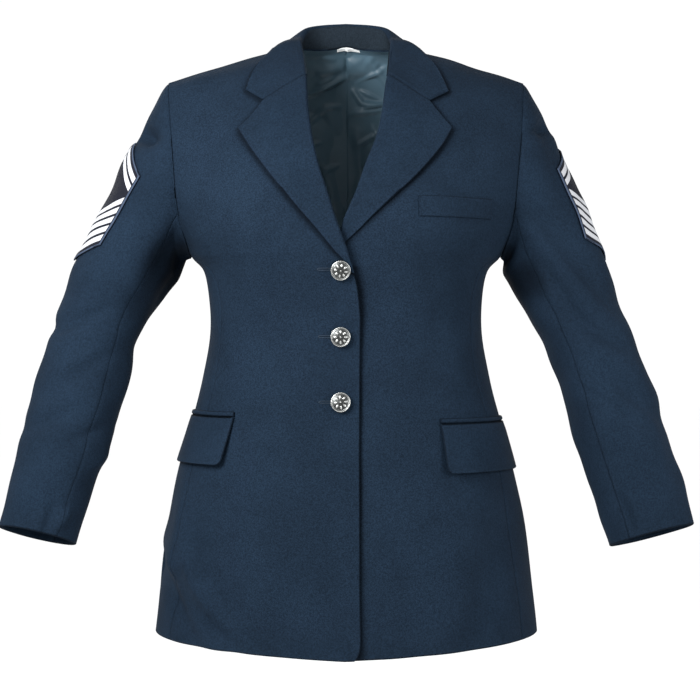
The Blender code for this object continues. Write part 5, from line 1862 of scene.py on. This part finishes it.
class Lining(Piece):
    """The satin lining of the back, with its middle pleat, and the bare tape under the collar's stand."""

    # The wrinkles: the most that they sink, and what is left of them at the neck
    deepest = 0.0012
    neck_share = 0.15
    # The tape's bow: its middle, its width and its depth, and how far back the tape leans
    bow = (0.0025, 0.0035, 0.0016)
    lean = 0.0034

    def lining(self) -> Cut:
        """The lining, with its listed wrinkles."""
        middle = BACK_SEAM[1]
        rows = np.concatenate([np.linspace(0.6, middle, 70), np.linspace(middle, BACK_NECK_ROW, 110)[1:]])
        reach = between(*LINING_SIDE, ease((rows - 10.2) / 3))
        across = reach[:, None] * np.linspace(0, 1, 84) ** 1.4
        home = 1 - ease((rows - 14.2) / 0.8)[:, None]
        top, rise = neck_inside(across * BACK_ROWS[-1][0])
        rows = rows[:, None] + (top - BACK_NECK_ROW) * (1 - home)
        rise = np.concatenate([rise[:, ::-1], rise[:, 1:]], 1)
        depth = BODY_WALL + LINING_GAP * home
        halves = [self.body.surface(Face.BACK, side, rows, across, -depth) for side in Side]
        points, normals = (np.concatenate([right[:, ::-1], left[:, 1:]], 1) for right, left in zip(*halves))
        lift = sum(crease.height(points) for crease in LINING_CREASES)
        ripple = Ripple(SEED + 11, 0.030, 0.090, 0.0016).height(points)
        middle_way = ease(np.abs(points[..., 0]) / 0.004)
        lift = lift + np.maximum(ripple + 0.0004, -0.0006) * middle_way
        share = self.neck_share + (1 - self.neck_share) * home
        points = points - normals * (np.maximum(lift, -self.deepest) * share)[..., None]
        points[..., 2] += rise * (1 - home)
        facing = turn_of(points, normals)
        return Cut(
            "lining_back", points - facing * LINING_WALL, -facing, LINING_WALL, "lining", rests_on=BACKS,
        )

    def label(self) -> Cut:
        """A plain white tape with nothing on it, caught under the stand and bowed a little."""
        x_from, x_to, hang, tuck = LABEL
        x = between(x_from, x_to, spread(x_to - x_from, 0.0015, 0.0005))
        bow_x, bow_width, bow_depth = self.bow
        bow = bow_depth * np.exp(-(((x - bow_x) / bow_width) ** 2))
        rows = BACK_NECK_ROW - hang * np.linspace(1, 0, 7)[:, None]
        reach = self.body.across_at(Face.BACK, rows, np.abs(x)) * np.sign(x)
        sink = BODY_WALL + 2 * LINING_WALL + LABEL_WALL + bow
        low, _ = self.body.surface(Face.BACK, Side.LEFT, rows, reach, -sink)
        low[..., 2] += neck_inside(np.abs(x))[1]
        high = low[-1] + np.linspace(0, 1, 5)[1:, None, None] * np.array([0.0, self.lean, tuck])
        points = np.concatenate([low, high])
        normals = turn_of(points, np.broadcast_to((0.0, 0.0, -1.0), points.shape))
        return Cut(
            "neck_label", points, normals, LABEL_WALL, "label", faced=UNLINED, held="laid",
            rests_on=("lining_back",),
        )

    def build(self) -> None:
        """Makes the lining and the tape."""
        self.lining().build(self.finishes.satin, self.finishes.satin)
        self.label().build(self.finishes.tape, self.finishes.tape)


@dataclass(frozen=True)
class ButtonSize:
    """Sizes of a button, from the cloth out."""

    radius: float = 0.0106
    rim: float = 0.0007
    rope: float = 0.0088
    rope_thread: float = 0.00035
    base: float = 0.0030
    disc: float = 0.0018
    top: float = 0.0056
    boss: float = 0.0021
    shank: float = 0.0022
    petals: int = 8
    petal: float = 0.0032
    petal_reach: float = 0.0046


class Buttons(Piece):
    """The three metal buttons, each with a plain rosette, and the worked buttonholes beside them."""

    size = ButtonSize()
    # How far each button is turned
    tilts = (0.20, 0.0, -0.10)
    # The slit of each buttonhole, seen from the front: x from, x to, z
    slits = ((-0.0303, -0.0150, -0.2552), (-0.0292, -0.0145, -0.3268), (-0.0288, -0.0150, -0.3966))

    def part(
        self, add: Callable, height: float, reach: float = 0.0, turn: float = 0.0, scale=(1, 1, 1),
        hollow: float = 0.0, **settings,
    ) -> Thing:
        """One solid of the button.

        Args:
            add: The operator that makes it.
            height: Its middle's height over the cloth.
            reach: How far it lies from the button's middle.
            turn: The way that it lies and faces.
            scale: Its size along its three axes.
            hollow: How dark its metal is.
            **settings: What the operator takes.

        Returns:
            The solid, with its scale and turn applied.
        """
        bpy.ops.object.select_all(action="DESELECT")
        add(location=(reach * math.cos(turn), reach * math.sin(turn), height), **settings)
        thing = bpy.context.object
        thing.scale = scale
        thing.rotation_euler = (0, 0, turn)
        bpy.ops.object.transform_apply(location=False, rotation=True, scale=True)
        set_attribute(thing.data, "hollow", np.full(len(thing.data.vertices), hollow))
        return thing

    def model(self) -> Thing:
        """The button at the origin, facing +Z."""
        size, ops = self.size, bpy.ops.mesh
        cylinder, ball = ops.primitive_cylinder_add, ops.primitive_uv_sphere_add
        ring = ops.primitive_torus_add
        middle, inside = (size.base + size.top) / 2, size.radius - size.rim
        disc = dict(vertices=64, radius=size.radius, depth=size.disc)
        dome = dict(segments=48, ring_count=24, radius=inside)
        rim = dict(major_radius=inside, minor_radius=size.rim, major_segments=72, minor_segments=14)
        rope = dict(major_radius=size.rope, minor_radius=size.rope_thread)
        rope |= dict(major_segments=64, minor_segments=8)
        boss = dict(segments=24, ring_count=12, radius=size.boss)
        shank = dict(vertices=24, radius=size.shank, depth=size.base)
        parts = [
            self.part(cylinder, size.base + 0.0009, **disc),
            self.part(ball, middle + 0.0002, scale=(1, 1, 0.32), hollow=0.75, **dome),
            self.part(ring, middle + 0.0008, hollow=0.35, **rim),
            self.part(ring, middle + 0.0016, hollow=0.55, **rope),
            self.part(ball, size.top + 0.0010, scale=(1, 1, 0.55), **boss),
            self.part(cylinder, size.base / 2 + 0.0004, **shank),
        ]
        petal = dict(scale=(1.0, 0.50, 0.42), hollow=0.1, segments=20, ring_count=12, radius=size.petal)
        for number in range(size.petals):
            turn = 2 * math.pi * number / size.petals
            parts.append(self.part(ball, size.top + 0.0005, size.petal_reach, turn, **petal))
        bpy.ops.object.select_all(action="DESELECT")
        for thing in parts:
            thing.select_set(True)
        bpy.context.view_layer.objects.active = parts[0]
        bpy.ops.object.join()
        bpy.ops.object.transform_apply(location=True, rotation=True, scale=True)
        bpy.ops.object.shade_smooth_by_angle(angle=math.radians(40))
        return bpy.context.object

    def buttonhole(self, number: int, x_from: float, x_to: float, z: float) -> None:
        """A ring of thread round a slit, as one tube.

        Args:
            number: The button that it belongs to.
            x_from: Where the slit starts.
            x_to: Where it ends.
            z: Its height.
        """
        turns, sides, thread = 40, 8, 0.00055
        around = np.linspace(0, 2 * math.pi, turns, endpoint=False)
        half, spread_z = (x_to - x_from) / 2, 0.0011
        line_x = (x_from + x_to) / 2 + half * np.sign(np.cos(around)) * np.abs(np.cos(around)) ** 0.35
        line_z = z + spread_z * np.sin(around)
        line, normals = self.body.on_front(Side.RIGHT, -line_x, line_z, 0.0003)
        ways = unit(np.roll(line, -1, 0) - np.roll(line, 1, 0))
        beside = np.cross(ways, normals)
        turn = np.linspace(0, 2 * math.pi, sides, endpoint=False)
        tube = line[:, None] + thread * (
            np.cos(turn)[None, :, None] * beside[:, None] + np.sin(turn)[None, :, None] * normals[:, None]
        )
        index = np.arange(turns * sides).reshape(turns, sides)
        following, next_side = np.roll(index, -1, 0), np.roll(index, -1, 1)
        faces = np.stack([index, following, np.roll(following, -1, 1), next_side], -1).reshape(-1, 4)
        thing = new_mesh(f"buttonhole_{number}", tube.reshape(-1, 3), faces)
        thing.data.materials.append(self.finishes.buttonhole)
        seat(thing, "shell")

    def build(self) -> None:
        """Models the button once, then sets a copy at each place."""
        model = self.model()
        model.data.materials.clear()
        model.data.materials.append(self.finishes.pewter)
        for number, (z, tilt) in enumerate(zip(BUTTON_Z, self.tilts), 1):
            place, normal = self.body.on_front(Side.RIGHT, -BUTTON_X, z)
            right = unit(np.cross(normal, (0.0, 0.0, 1.0)))
            turned = Matrix(np.stack([right, np.cross(normal, right) * -1, normal], 1).tolist()).to_4x4()
            mesh = model.data.copy()
            mesh.transform(Matrix.Translation(Vector(place)) @ turned @ Matrix.Rotation(tilt, 4, "Z"))
            thing = bpy.data.objects.new(f"button_{number}_metal", mesh)
            bpy.context.scene.collection.objects.link(thing)
            seat(thing, "button", f"button_{number}")
            self.buttonhole(number, *self.slits[number - 1])
        bpy.data.objects.remove(model, do_unlink=True)


@dataclass(frozen=True)
class Lamp:
    """A soft square light that points at a place."""

    name: str
    place: tuple[float, float, float]
    aim: tuple[float, float, float]
    size: float
    power: float

    def build(self) -> None:
        """Makes the light."""
        data = bpy.data.lights.new(self.name, "AREA")
        data.size, data.energy = self.size, self.power
        thing = bpy.data.objects.new(self.name, data)
        thing.location = self.place
        thing.rotation_euler = (Vector(self.aim) - Vector(self.place)).to_track_quat("-Z", "Y").to_euler()
        bpy.context.scene.collection.objects.link(thing)


class Studio:
    """The camera, the pale floor and the lights."""

    camera_place = (0.0045, -2.0, -0.341)
    lens = 90.5
    floor_z = -1.05
    floor_size = 40
    floor_colour = (0.97, 0.97, 0.97)
    surround = 1.04
    lamps = (
        Lamp("key", (-0.58, -0.82, 0.10), (0, 0, -0.22), 0.50, 28.0),
        Lamp("back", (-0.50, 1.50, 0.35), (0, 0, -0.25), 1.0, 12.0),
        Lamp("fill", (0.75, -0.60, -0.20), (0.2, 0, -0.3), 0.4, 7.0),
    )

    def camera(self) -> None:
        """A level camera in front of the closure."""
        data = bpy.data.cameras.new("camera")
        data.lens = self.lens
        data.sensor_width = 36.0
        data.dof.use_dof = False
        thing = bpy.data.objects.new("camera", data)
        thing.location = self.camera_place
        thing.rotation_euler = (math.pi / 2, 0, 0)
        bpy.context.scene.collection.objects.link(thing)
        bpy.context.scene.camera = thing

    def floor(self) -> None:
        """A wide pale floor."""
        bpy.ops.object.select_all(action="DESELECT")
        bpy.ops.mesh.primitive_plane_add(size=self.floor_size, location=(0, 0, self.floor_z))
        thing = bpy.context.object
        bpy.ops.object.transform_apply(location=True, rotation=True, scale=True)
        thing.name = "floor"
        material, canvas, shader = new_material("pale_floor", Roughness=0.9)
        join(canvas, shader, solid(self.floor_colour))
        thing.data.materials.append(material)

    def world(self) -> None:
        """An even white surround."""
        world = bpy.data.worlds.new("studio")
        world.use_nodes = True
        background = world.node_tree.nodes["Background"]
        background.inputs[0].default_value = (1.0, 1.0, 1.0, 1.0)
        background.inputs[1].default_value = self.surround
        bpy.context.scene.world = world
        bpy.context.scene.view_settings.view_transform = "Standard"

    def build(self) -> None:
        """Sets up the studio."""
        self.camera()
        self.floor()
        self.world()
        for lamp in self.lamps:
            lamp.build()


def corners(size: tuple[Vector, Vector]) -> list[list[float]]:
    """A box as plain lists."""
    return [[float(value) for value in corner] for corner in size]


def main() -> None:
    """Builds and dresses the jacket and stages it."""
    logging.basicConfig(level=logging.INFO, format="%(name)s %(message)s")
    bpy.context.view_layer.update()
    body, finishes = Body(), Finishes()
    for kind in (BodyPanels, Sleeves, Lapels, Collar, Pockets, Lining, Buttons):
        kind(body, finishes).build()
        log.info("%s built", kind.__name__)
    Studio().build()
    bpy.context.view_layer.update()


if __name__ == "__main__":
    main()
